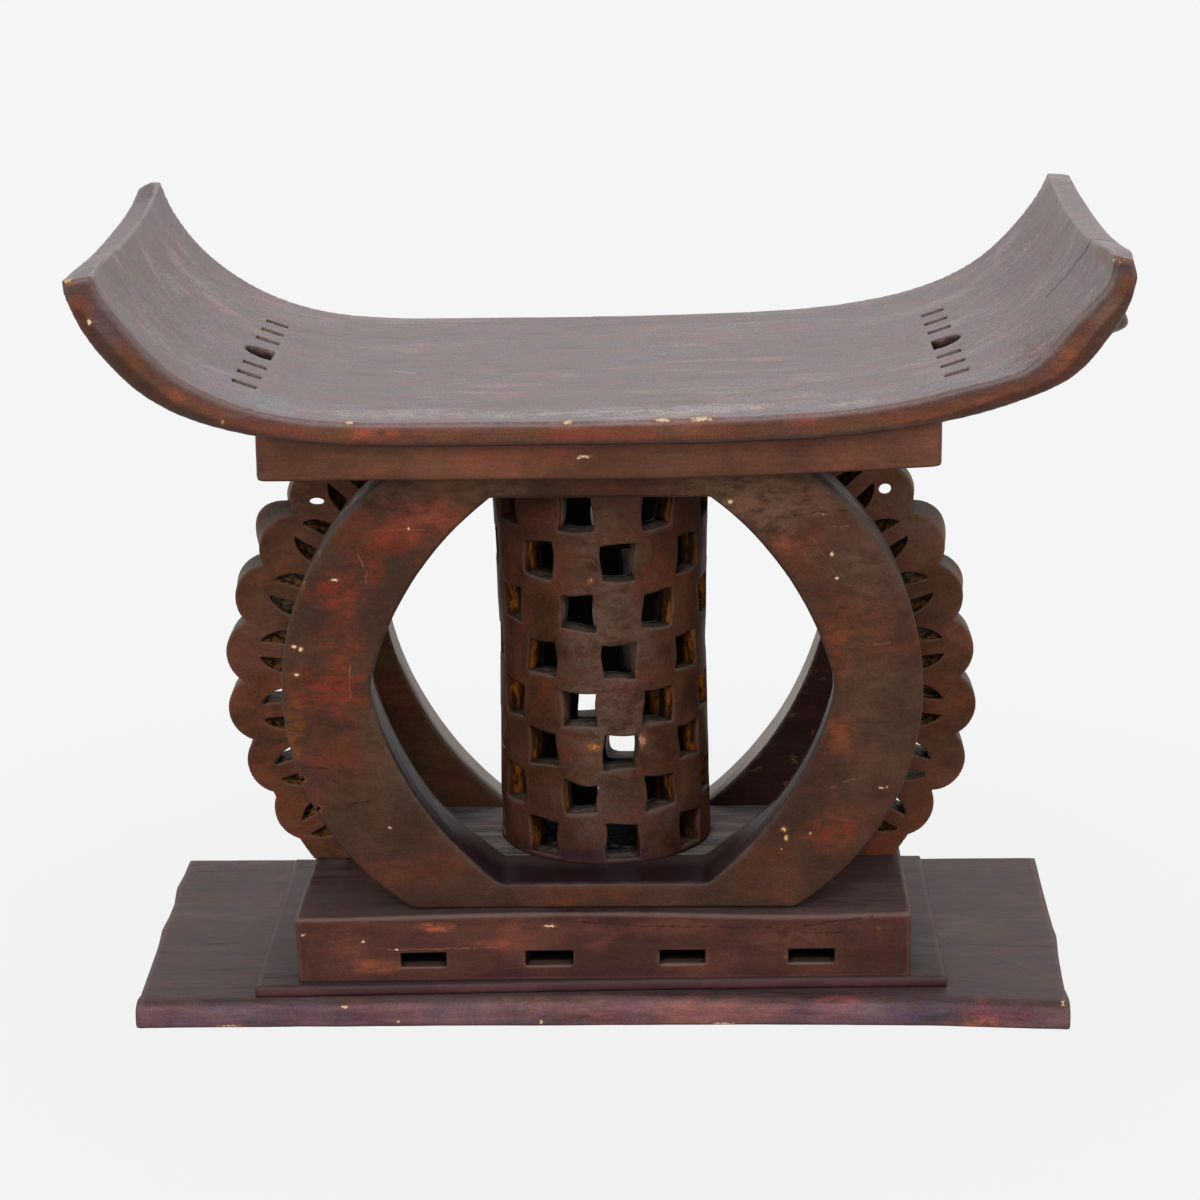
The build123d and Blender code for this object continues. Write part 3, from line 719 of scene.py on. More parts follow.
class Carving:
    """A copy of one solid, worked over by hand."""

    def __init__(self, node: str, grain: Grain, holes: Sequence[Hole] = ()) -> None:
        """Copy a node's mesh and lay an even mesh over it.

        Args:
            node: The CAD node.
            grain: How coarse the even mesh is.
            holes: What to cut through it first.
        """
        self.node = node
        self.step = grain.value
        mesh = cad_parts[node].data.copy()
        mesh.name = f"carved_{node}"
        mesh.materials.clear()
        self.object = bpy.data.objects.new(f"carved_{node}", mesh)
        bpy.context.scene.collection.objects.link(self.object)
        self.pick()
        bpy.ops.object.mode_set(mode="EDIT")
        bpy.ops.mesh.select_all(action="SELECT")
        bpy.ops.mesh.remove_doubles(threshold=1e-6)
        bpy.ops.object.mode_set(mode="OBJECT")
        for hole in holes:
            cutter = hole.cutter()
            self.apply("BOOLEAN", operation="DIFFERENCE", solver="EXACT", object=cutter)
            bpy.data.objects.remove(cutter, do_unlink=True)
        cells = max(self.object.dimensions) / self.step
        depth = int(np.ceil(np.log2(cells / 0.99)))
        self.apply("REMESH", mode="SHARP", octree_depth=depth, scale=cells / 2 ** depth, sharpness=1.0,
                   use_remove_disconnected=False)

    def pick(self) -> None:
        """Select this piece alone."""
        bpy.ops.object.select_all(action="DESELECT")
        self.object.select_set(True)
        bpy.context.view_layer.objects.active = self.object

    def apply(self, kind: str, **settings: object) -> "Carving":
        """Add a modifier and apply it.

        Args:
            kind: The modifier's type.
            settings: Its settings.

        Returns:
            This piece.
        """
        self.pick()
        modifier = self.object.modifiers.new(kind.lower(), kind)
        for name, value in settings.items():
            setattr(modifier, name, value)
        bpy.ops.object.modifier_apply(modifier=modifier.name)
        return self

    def soften(self, times: int) -> "Carving":
        """Round the edges a little."""
        return self.apply("SMOOTH", factor=0.5, iterations=times)

    def uneven(self, size: float, height: float) -> "Carving":
        """Leave the faces as uneven as a blade does.

        Args:
            size: How wide the waves are.
            height: How high they are.

        Returns:
            This piece.
        """
        texture = bpy.data.textures.new(f"{self.node}_waves", "CLOUDS")
        texture.noise_scale = size
        texture.noise_depth = 2
        self.apply("DISPLACE", texture=texture, strength=height, mid_level=0.5, texture_coords="LOCAL")
        bpy.data.textures.remove(texture)
        return self

    @property
    def points(self) -> np.ndarray:
        """The places of all vertices, one row each."""
        return self._read("co")

    @points.setter
    def points(self, places: np.ndarray) -> None:
        """Move all vertices."""
        self.object.data.vertices.foreach_set("co", places.astype(np.float32).ravel())
        self.object.data.update()

    @property
    def normals(self) -> np.ndarray:
        """The directions in which the vertices face."""
        return self._read("normal")

    def _read(self, what: str) -> np.ndarray:
        """Read one vector of every vertex.

        Args:
            what: The vector's name.

        Returns:
            The vectors, one row each.
        """
        mesh = self.object.data
        flat = np.empty(len(mesh.vertices) * 3, np.float32)
        mesh.vertices.foreach_get(what, flat)
        return flat.reshape(-1, 3).astype(float)

    def bend(self, *rows: Sequence[float]) -> "Carving":
        """Bend the piece softly round some places, one after the other.

        Args:
            rows: For each where it moves most, how far the bend reaches along each axis, and how far
                the piece moves there, in millimetres.

        Returns:
            This piece.
        """
        for row in rows:
            place, reach, shift = (np.array(metres(row[start:start + 3])) for start in (0, 3, 6))
            points = self.points
            away = ((points - place) / reach) ** 2
            self.points = points + np.exp(-away.sum(axis=1))[:, None] * shift
        return self

    def hew(self, axis: int, end: float, along: int, knots: Sequence[float],
            reach: float = 20.0) -> "Carving":
        """Leave one end of the piece cut by eye. Lengths are in millimetres.

        Args:
            axis: The axis that the end lies across.
            end: Where the end is on it.
            along: The axis along which the cut wanders.
            knots: In turns a place along the cut and how far the end stands out there.
            reach: How far into the piece the cut is felt.

        Returns:
            This piece.
        """
        points = self.points
        out = np.interp(points[:, along], metres(knots[::2]), metres(knots[1::2]))
        near = ramp(np.abs(points[:, axis] - end / 1000.0), reach / 1000.0, 0.0)
        points[:, axis] += np.sign(end) * out * near
        self.points = points
        return self

    def _around(self, values: np.ndarray, first: np.ndarray, second: np.ndarray) -> np.ndarray:
        """The mean over each vertex's neighbours.

        Args:
            values: A number for each vertex.
            first: One end of every edge.
            second: The other end.

        Returns:
            The means.
        """
        size = len(values)
        count = np.bincount(first, minlength=size) + np.bincount(second, minlength=size)
        total = np.bincount(first, values[second], size) + np.bincount(second, values[first], size)
        return total / np.maximum(count, 1)

    def means(self, rows: np.ndarray) -> np.ndarray:
        """The mean row over each vertex's neighbours."""
        first, second = self.pairs
        return np.stack([self._around(column, first, second) for column in rows.T], axis=1)

    @property
    def pairs(self) -> np.ndarray:
        """The two ends of every edge.

        Returns:
            Two rows of vertex numbers.
        """
        mesh = self.object.data
        flat = np.empty(len(mesh.edges) * 2, np.int32)
        mesh.edges.foreach_get("vertices", flat)
        return flat.reshape(-1, 2).T

    def relax(self, share: np.ndarray, times: int) -> "Carving":
        """Wear edges round where a share says so.

        Args:
            share: How much each vertex gives way, 0 to 1.
            times: How far the wear has gone.

        Returns:
            This piece.
        """
        points = self.points
        for _ in range(times):
            points += (self.means(points) - points) * share[:, None] * 0.6
        self.points = points
        return self

    def ease(self, chosen: np.ndarray, shift: np.ndarray, rounds: int) -> "Carving":
        """Move some vertices and let those around them follow.

        Args:
            chosen: Which vertices are moved.
            shift: How far each is moved, one row for each vertex.
            rounds: How far around them the others follow.

        Returns:
            This piece.
        """
        held = np.where(chosen[:, None], shift, 0.0)
        follow = held
        for _ in range(rounds):
            follow = np.where(chosen[:, None], held, self.means(follow))
        self.points = self.points + follow
        return self

    def note(self, name: str, values: np.ndarray) -> "Carving":
        """Keep one number of each vertex for the shader.

        Args:
            name: What the shader calls it.
            values: The numbers.

        Returns:
            This piece.
        """
        layer = self.object.data.attributes.new(name, "FLOAT", "POINT")
        layer.data.foreach_set("value", values.astype(np.float32))
        return self

    def read_edges(self) -> "Carving":
        """Note at each vertex how far it stands out as an edge or lies back as a corner.

        Returns:
            This piece.
        """
        places = self.points
        bend = np.einsum("ij,ij->i", places - self.means(places), self.normals)[:, None] / self.step
        for _ in range(2):
            bend = 0.5 * bend + 0.5 * self.means(bend)
        self.note("edge", np.clip(bend[:, 0] * 9.0, 0.0, 1.0))
        return self.note("hollow", np.clip(bend[:, 0] * -9.0, 0.0, 1.0))

    def finish(self, wood: StainedWood, slot: str) -> bpy.types.Object:
        """Dress the piece and put it in its node's place.

        Args:
            wood: Its finish.
            slot: Not used.

        Returns:
            The piece.
        """
        self.read_edges()
        self.pick()
        bpy.ops.object.shade_smooth()
        self.object.data.materials.append(wood.dress())
        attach(self.object, "root")
        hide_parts(self.node)
        log.info("%s: %d faces", self.object.name, len(self.object.data.polygons))
        return self.object


# ----------------------------------------------------------------- sub-assemblies ----
@dataclass
class Foot:
    """The base board, the step board and the plinth."""

    wave: float = 0.0007

    def build(self) -> None:
        """Carve and dress the three boards."""
        self.base_board()
        self.step_board()
        self.plinth()

    def base_board(self) -> None:
        """Carve and dress the base board, with its hewn ends."""
        board = Carving("base_board", Grain.BROAD).soften(2).uneven(0.05, self.wave)
        board.hew(0, -287.5, 1, (-127, 1.2, -114, -0.8, -80, -0.4, -30, 0, -3, 1.4, 20, 0.2, 45, 0,
                                 75, 2.2, 95, 0.6, 127, 0))
        board.hew(0, 287.5, 1, (-127, -3, -118, -3.2, -105, -4.2, -80, -3, -50, -1.4, -20, 0.8, 0, 0.4,
                                60, 1, 127, 2.5))
        board.hew(1, -127, 0, (-287.5, 1, -100, -1, 100, -1, 200, 2, 287.5, 9), reach=60)
        board.hew(1, 127, 0, (-287.5, 10, 287.5, 7), reach=60)
        plum, rose, slate = (80, 66, 84), (144, 90, 92), (84, 76, 94)
        board.finish(StainedWood(
            "base_board_stain", dark=(88, 68, 74), light=(118, 86, 88), red=(134, 84, 76),
            top=(84, 66, 65), worn=(128, 104, 98), shift=(1.0, 2.0, 3.0), index=1.22, wear=0.4,
            roughness=0.5, streaks=0.8, tinge=0.7, grit=0.9,
            patches=blots(
                *on_face(-127, 12,
                    (-220, 10, 70, 12, plum, 0.6), (10, 12, 90, 10, rose, 0.6),
                    (95, 10, 50, 9, rose, 0.5), (140, 16, 20, 5, (160, 84, 88), 0.7),
                    (190, 9, 40, 12, slate, 0.6), (238, 10, 22, 6, (158, 84, 88), 0.8),
                    (235, 3, 30, 4, (176, 100, 70), 0.8)),
                (-235, 20, 17.5, 40, 90, 10, (88, 68, 70), 0.5),
                (255, 30, 17.5, 30, 80, 10, (78, 66, 62), 0.5),
                (288, 30, 10, 6, 60, 20, (120, 70, 50), 0.6)),
            strokes=lines(FROM_ABOVE,
                (2.2, (46, 34, 34), 1, 217, -34, 245, -37, 287, -40),
                (3, (50, 40, 42), 1, -278, 106, -235, 108), (3, (54, 44, 44), 1, -272, -31, -238, -29),
                (2, (66, 56, 54), 1, 236, -50, 249, -66, 262, -78)),
            chips=nicks(
                (-159.4, -127, 13.2, 3.4, 6, 1.2), (-127, -127, 3.8, 1.6, 6, 1.2),
                (280, -127, 15.5, 1.8, 10, 2), (-231, -124, 1.8, 12, 8, 1.2), (-39, -124, 3, 1.2, 8, 2),
                (73, -124, 1.5, 9, 8, 1.2))), "base_wood")

    def step_board(self) -> None:
        """Carve and dress the step board."""
        board = Carving("step_board", Grain.BROAD).soften(1).uneven(0.05, self.wave * 0.6)
        board.bend(
            (211, -116.5, 20, 250, 120, 1000, 0, 9, 0), (-211, -116.5, 20, 120, 300, 1000, -4, -4, 0))
        board.finish(StainedWood(
            "step_board_stain", dark=(63, 36, 40), light=(84, 48, 50), red=(116, 60, 56),
            top=(74, 58, 58), worn=(96, 76, 76), shift=(4.0, 2.0, 7.0), index=1.2, wear=0.45,
            chips=nicks(
                (186.3, -104.2, 24, 1.4, 1.6, 2, (240, 232, 226)))), "step_wood")

    def plinth(self) -> None:
        """Carve and dress the plinth."""
        block = Carving("plinth", Grain.FINE).soften(1)
        block.note("depth", PLINTH_HALF_DEPTH - np.abs(block.points[:, 1]))
        block.uneven(0.05, self.wave)
        block.bend(
            (188, -111.5, 30, 200, 100, 200, 0, 6, -1), (-188, -111.5, 68.5, 100, 120, 30, -1.5, 0, -3.2),
            (125, -111.5, 68.5, 85, 16, 20, 0, 0, -4.2), (-188, -10, 68.5, 20, 50, 30, 2, 0, 0))
        points, niche_height, sag = block.points, 0.0445, 0.0007
        niche = ramp(points[:, 1], -0.1025, -0.1085)
        niche *= ramp(np.abs(points[:, 2] - niche_height), 0.016, 0.010)
        for middle, left, right in ((-0.040, 0.003, 0.0028), (0.042, 0.0, -0.0012), (0.1215, 0.0, -0.003)):
            near = ramp(np.abs(points[:, 0] - middle), 0.033, 0.011) * niche
            points[:, 0] -= near * np.where(points[:, 0] < middle, left, right)
        points[:, 2] -= niche * sag
        block.points = points
        block.finish(PlinthWood(
            "plinth_stain", dark=(70, 44, 38), light=(88, 55, 47), red=(108, 62, 50),
            top=(86, 68, 66), worn=(132, 106, 98), shift=(8.0, 1.0, 5.0), wear=0.55, index=1.15,
            patches=blots(
                *on_face(-110, 20,
                    (-106, 59.5, 11, 3.5, (172, 92, 66), 0.9), (-70, 48, 18, 3.5, (150, 84, 66), 0.6),
                    (-160, 50, 11, 12, (118, 68, 52), 0.6), (-145, 34, 18, 4.5, (146, 80, 58), 0.8),
                    (-50, 50, 20, 10, (128, 72, 58), 0.5), (50, 58, 30, 6, (124, 70, 60), 0.5),
                    (118, 50, 35, 10, (120, 72, 58), 0.5), (0, 26, 190, 4, (70, 38, 46), 0.6)),
                # Darkens the plinth's top along the foot of the front hoop: painted shade.
                (0, -50, 68.5, 100, 60, 10, (40, 28, 32), 0.8)),
            strokes=lines(FROM_FRONT,
                (1.4, (48, 28, 26), 1, -19, 62, 22, 59, 76, 57, 112, 56.5, 131, 58.5, 168, 64),
                (0.9, (140, 92, 76), 0.2, -134, 44.5, -100, 45.5, -62, 46),
                (1.2, (44, 28, 26), 1, 107, 53.5, 146, 53)),
            chips=nicks(
                *on_face(-110, 6,
                    (-33.3, 59.5, 5, 1.2), (-185.3, 55.1, 1.8, 1.2), (-148.5, 50.3, 1.6, 1),
                    (-127.7, 45, 1.6, 0.8), (168.5, 55.5, 1.3, 1.6)),
                (112, -103, 37.5, 1.6, 8, 0.8, (150, 96, 66)))), "plinth_wood")


@dataclass
class Cage:
    """What stands between the plinth and the block: pad, hoops, column and panels."""

    wave: float = 0.0008

    def build(self) -> None:
        """Carve and dress the pieces."""
        self.pad()
        self.front_hoop()
        self.back_hoop()
        self.column()
        self.panel("left_scallop_panel", -1.0, (7.0, 3.0, 5.0), 0.0065, (15.9, -3.9, -15.9),
                   Hole((-0.1781, -0.010, 0.3050), (0.0052, 0.0021), (-0.101, -0.277)))
        self.panel("right_scallop_panel", 1.0, (9.0, 2.0, 6.0), 0.0025, (-15.9, -20.1, -27.9),
                   Hole((0.1757, -0.010, 0.3108), (0.0040, 0.0034), (0.066, -0.277)))

    def pad(self) -> None:
        """Carve and dress the floor pad."""
        pad = Carving("floor_pad", Grain.MEDIUM).soften(2).uneven(0.04, self.wave * 0.7)
        pad.finish(StainedWood(
            "pad_stain", dark=(58, 36, 38), light=(74, 44, 46), red=(78, 36, 40),
            top=(116, 108, 106), worn=(150, 142, 140), shift=(2.0, 6.0, 1.0), streaks=1.3, index=1.03,
            bloom=0.6, wear=0.15,
            patches=blots(
                (0, -86, 86, 60, 24, 14, (78, 42, 44), 2), (0, -98, 72, 200, 12, 12, (90, 42, 44), 2),
                # (-78, -55) and (74, -60) darken the pad beside the column, and (0, 0) blackens it inside
                # the bore: painted shade.
                (-78, -55, 84, 12, 20, 20, (48, 32, 34), 1.2), (74, -60, 84, 10, 16, 20, (56, 42, 42), 1),
                (0, 0, 84, 54, 54, 30, (12, 8, 5), 4))), "pad_wood")

    def front_hoop(self) -> None:
        """Carve and dress the front hoop."""
        piece = Carving("front_hoop", Grain.MEDIUM).soften(2).uneven(0.04, self.wave)
        points, normals = piece.points, piece.normals
        wide, deep, high = points.T
        wall = (np.hypot(wide, high - HOOP_HEIGHT) < 0.155) & (np.abs(normals[:, 1]) < 0.6)
        share = ramp(deep, -0.084, -0.048) * ramp(high, 0.095, 0.125) * ramp(high, 0.235, 0.205)
        depth = share * (0.0053 + 0.013 * np.clip(wide, -0.12, 0.12))
        piece.ease(wall, -normals * depth[:, None] * (1.0, 0.0, 1.0), 24)
        olive = (62, 48, 38)
        piece.finish(HoopWood(
            "front_hoop_stain", dark=(68, 47, 38), light=(82, 55, 43), red=(96, 53, 39),
            top=(84, 74, 72), worn=(112, 98, 92), shift=(3.0, 1.0, 9.0), mottle=20.0, index=1.11,
            grain=(0.4, 1.0, 1.0), wear=0.5,
            patches=blots(
                *on_face(-101, 22,
                    (-101, 318, 30, 12, (138, 72, 54), 0.8), (-127, 303, 22, 10, EMBER, 0.7),
                    (-157, 271, 16, 18, EMBER, 0.75), (-136, 282, 10, 12, EMBER, 0.5),
                    (-156, 241, 15, 13, EMBER, 0.35), (-157, 212, 17, 22, EMBER, 0.75),
                    (-181, 209, 11, 20, EMBER, 0.4), (-157, 170, 30, 20, RUST, 0.5),
                    (-189, 177, 8, 26, (128, 74, 40), 0.6), (-118, 94, 35, 12, RUST, 0.4),
                    (-141, 176, 9, 28, (84, 66, 54), 0.7), (-122, 148, 14, 20, (86, 68, 58), 0.7),
                    (-172, 306, 14, 24, olive, 0.6), (146, 239, 22, 28, (124, 66, 40), 0.55),
                    (144, 180, 10, 11, (136, 70, 42), 0.8), (169, 236, 14, 20, RUST, 0.6),
                    (123, 299, 17, 13, (122, 62, 46), 0.55), (111, 301, 8, 8, (146, 84, 70), 0.5),
                    # (98, 330) and (-90, 336) brighten the hoop's top under the block, and (160, 290) and
                    # (170, 200) its right side: painted light against the shadow there.
                    (142, 117, 20, 15, (128, 60, 42), 0.65), (98, 330, 60, 20, (108, 78, 62), 1.2),
                    (-90, 336, 60, 10, (104, 74, 56), 1), (160, 290, 30, 30, (94, 68, 56), 0.8),
                    (170, 200, 26, 50, (92, 66, 52), 0.6), (105, 101, 28, 12, RUST, 0.4),
                    (178, 190, 10, 30, olive, 0.5), (170, 135, 10, 20, (66, 40, 34), 0.7)),
                # The pale patches on the outer rim's top are partly dust and partly painted sheen.
                (-145, -68, 334, 36, 18, 30, (180, 172, 168), 1),
                (145, -68, 334, 36, 18, 30, (168, 158, 150), 1)),
            strokes=lines(FROM_FRONT,
                (0.8, (158, 96, 76), 0.2, -152.2, 225, -152.8, 204),
                (0.8, (146, 90, 68), 0.2, -136.5, 308.5, -118, 309.5, -105, 309),
                (0.8, (150, 104, 86), 0.2, -145.5, 294, -142.5, 286),
                (0.8, (150, 104, 86), 0.2, -141, 282, -141, 275),
                (1.4, (38, 26, 20), 1, -154, 136, -141, 138), (1.2, (40, 26, 20), 1, -181, 160, -169, 159),
                (1, (48, 32, 26), 1, 116, 316.5, 130, 318.5, 149, 319.5),
                (0.8, (112, 84, 70), 0.3, 127, 303, 134, 291, 141.5, 278),
                (1.2, (104, 80, 68), 0.3, 138, 145, 150, 150, 159, 152),
                (1, (136, 100, 80), 0.3, 164, 236, 174, 237),
                (0.9, (140, 104, 84), 0.3, 138, 309, 148, 310),
                (0.9, (44, 30, 24), 1, -165, 152, -158, 146)),
            chips=nicks(
                *on_face(-101, 6,
                    (-114.6, 309.5, 1.4, 1.4), (-159.7, 278.3, 3.4, 1.1), (-185.5, 236.5, 2.6, 1.5),
                    (-181.8, 235, 1.6, 2.2), (-185, 219, 2.4, 1.4), (-130.5, 121, 1.5, 1),
                    (-170, 296, 2.4, 3.6, (150, 142, 136)), (-180, 277, 2.4, 4.4, (150, 142, 136))),
                (-183.8, -101, 152, 2.6, 8, 2.6, (20, 12, 10)),
                (-174.5, -101, 133, 2.2, 8, 2.2, (20, 12, 10)),
                *on_face(-101, 6,
                    (77.5, 325, 2, 1.8), (138.5, 292.5, 1.6, 2), (141.5, 277.5, 1.4, 1.2),
                    (133, 317, 1.4, 0.6), (110.5, 119, 2.2, 1.8, (214, 178, 120)),
                    (112, 113, 1.5, 2.4, (214, 178, 120)), (126.5, 116, 1.2, 1, (206, 160, 104)),
                    (109, 106, 0.8, 1, (206, 160, 104)), (169.5, 145, 1.8, 0.9), (173, 145.5, 1, 1)))),
            "hoop_wood")

    def back_hoop(self) -> None:
        """Carve and dress the back hoop."""
        piece = Carving("back_hoop", Grain.MEDIUM).soften(2).uneven(0.04, self.wave)
        piece.finish(HoopWood(
            "back_hoop_stain", dark=(78, 55, 41), light=(98, 69, 50), red=(102, 60, 44),
            top=(112, 102, 96), worn=(150, 138, 130), shift=(5.0, 7.0, 2.0), wear=0.3, index=1.12,
            # The light far and high tones paint the lit strip at the wall's edge: painted light with some
            # wear.
            near=(74, 52, 40), far=(186, 174, 166), high=(176, 162, 150), turn=(0.050, 0.063),
            patches=blots(
                # This dark patch paints the shade behind the opening on the right.
                (125, 50, 130, 70, 18, 120, (50, 31, 28), 5))), "hoop_wood")

    def column(self) -> None:
        """Carve and dress the pierced column, which leans a little to the left."""
        column = Carving("pierced_column", Grain.FINE).soften(1).uneven(0.03, self.wave * 0.8)
        wide, deep, high = column.points.T
        angle, out = np.arctan2(wide, -deep), np.hypot(wide, deep)
        front_turn, back_turn, lean = np.radians(2.5), np.radians(12.0), 0.0018
        turned = angle + front_turn * ramp(deep, 0.02, -0.02)
        turned -= back_turn * np.sin(angle / 2) ** 4 * ramp(high, 0.118, 0.112)
        free = ramp(high, 0.088, 0.096) * ramp(high, 0.340, 0.332)
        turned += 0.014 * free * np.sin(5.0 * angle + 190.0 * high + 1.0)
        column.points = np.stack([out * np.sin(turned) - lean * ramp(high, 0.09, 0.35),
                                  -out * np.cos(turned),
                                  high + 0.0010 * free * np.sin(9.0 * angle + 130.0 * high)], axis=1)
        column.bend(
            (-22, 60, 153, 8, 20, 14, -3, 0, 0), (26, 55, 153, 11, 20, 16, 7.5, 0, 0),
            (6, 60, 125, 7, 20, 13, -4.5, 0, 0), (-33.5, 57, 131, 10, 20, 18, 7.5, 0, 0),
            (-13, -63, 138.5, 12, 20, 6, 0, 0, -4.5), (52.5, -40, 96, 13, 20, 8, 0, 0, 5),
            (53.5, -40, 122, 12, 20, 8, 0, 0, 3))
        column.finish(ColumnWood(
            "column_stain", dark=(66, 40, 27), light=(86, 54, 40), red=(92, 48, 33),
            top=(84, 70, 62), worn=(118, 98, 90), shift=(6.0, 4.0, 4.0), index=1.1, wear=0.35,
            mottle=26.0, grain=(0.6, 1.0, 0.6), grit=0.9,
            patches=blots(
                # (4, -66, 200) lightens the column's middle as painted light; (0, -64, 88) darkens its foot
                # and (±62, -20, 200) its sides as painted shade.
                (4, -66, 200, 30, 30, 140, (98, 76, 66), 0.8),
                (0, -66, 110, 50, 30, 28, (76, 56, 50), 0.8), (0, -64, 88, 80, 40, 7, (58, 38, 40), 1.6),
                (62, -20, 200, 12, 30, 120, (56, 30, 18), 0.6),
                (-62, -20, 200, 12, 30, 120, (50, 32, 18), 0.6)),
            chips=nicks(
                (-6, -62, 160.5, 6, 8, 3, (186, 118, 62)), (24, -62, 163, 2.6, 12, 5, (170, 122, 104)),
                (-6.6, -62, 267.3, 2.6, 8, 2, (196, 128, 100)),
                (11.5, -56, 207, 8, 10, 1.6, (206, 176, 130)))), "column_wood")

    def panel(self, node: str, side: float, shift: Triple, spread: float, through: Sequence[float],
              hole: Hole) -> None:
        """Carve and dress a scalloped side panel, whose upper lobes spread to the back.

        Args:
            node: Which of the two.
            side: -1 for the left, 1 for the right.
            shift: Where its pattern starts.
            spread: How far its upper lobes spread to the back.
            through: The slits that one sees through, as angles round the centre of the lobes. The others
                slope up to the back.
            hole: The round hole in its top lobe.
        """
        piece = Carving(node, Grain.FINEST, (hole,)).soften(2).uneven(0.03, self.wave)
        points = piece.points
        out, up = side * points[:, 0] - LOBES[0], points[:, 2] - LOBES[1]
        turn, away = np.degrees(np.arctan2(up, out)), np.hypot(out, up)
        shut = np.ones(len(points))
        for angle in through:
            shut *= ramp(np.abs(turn - angle), 1.6, 2.6)
        behind = points[:, 1] - hole.place[1]
        shut *= ramp(np.hypot(points[:, 0] - hole.place[0] - behind * hole.slant[0],
                              points[:, 2] - hole.place[2] - behind * hole.slant[1]), 0.008, 0.011)
        slope = 0.0062 * ramp(points[:, 1], -0.008, 0.012)
        points[:, 2] += slope * shut * ramp(away, 0.2025, 0.1985)
        piece.points = points
        piece.bend(
            (side * 206, 18, 290, 22, 12, 20, side * spread * 1000, 0, spread * 400),
            (side * 206, -12, 290, 22, 10, 20, side * -2.5, 0, -1),
            (side * 215, 18, 250, 20, 12, 18, side * 3, 0, 0.8))
        piece.finish(PanelWood(
            f"{node}_stain", dark=(84, 55, 40), light=(110, 71, 55), red=(122, 68, 48),
            top=(92, 74, 66), worn=(122, 96, 82), shift=shift, mottle=22.0, index=1.12,
            grain=(0.5, 1.0, 1.0), side=side,
            patches=blots(
                (side * 190, -10, 110, 40, 30, 30, (104, 62, 40), 0.6),
                (side * 210, -10, 180, 30, 30, 30, (108, 56, 38), 0.5),
                (195, -10, 295, 30, 30, 26, (96, 76, 68), 0.7),
                # Darkens the left panel's top lobes under the block: painted shadow.
                (-195, -10, 300, 30, 30, 30, (60, 44, 36), 0.6))), "panel_wood")


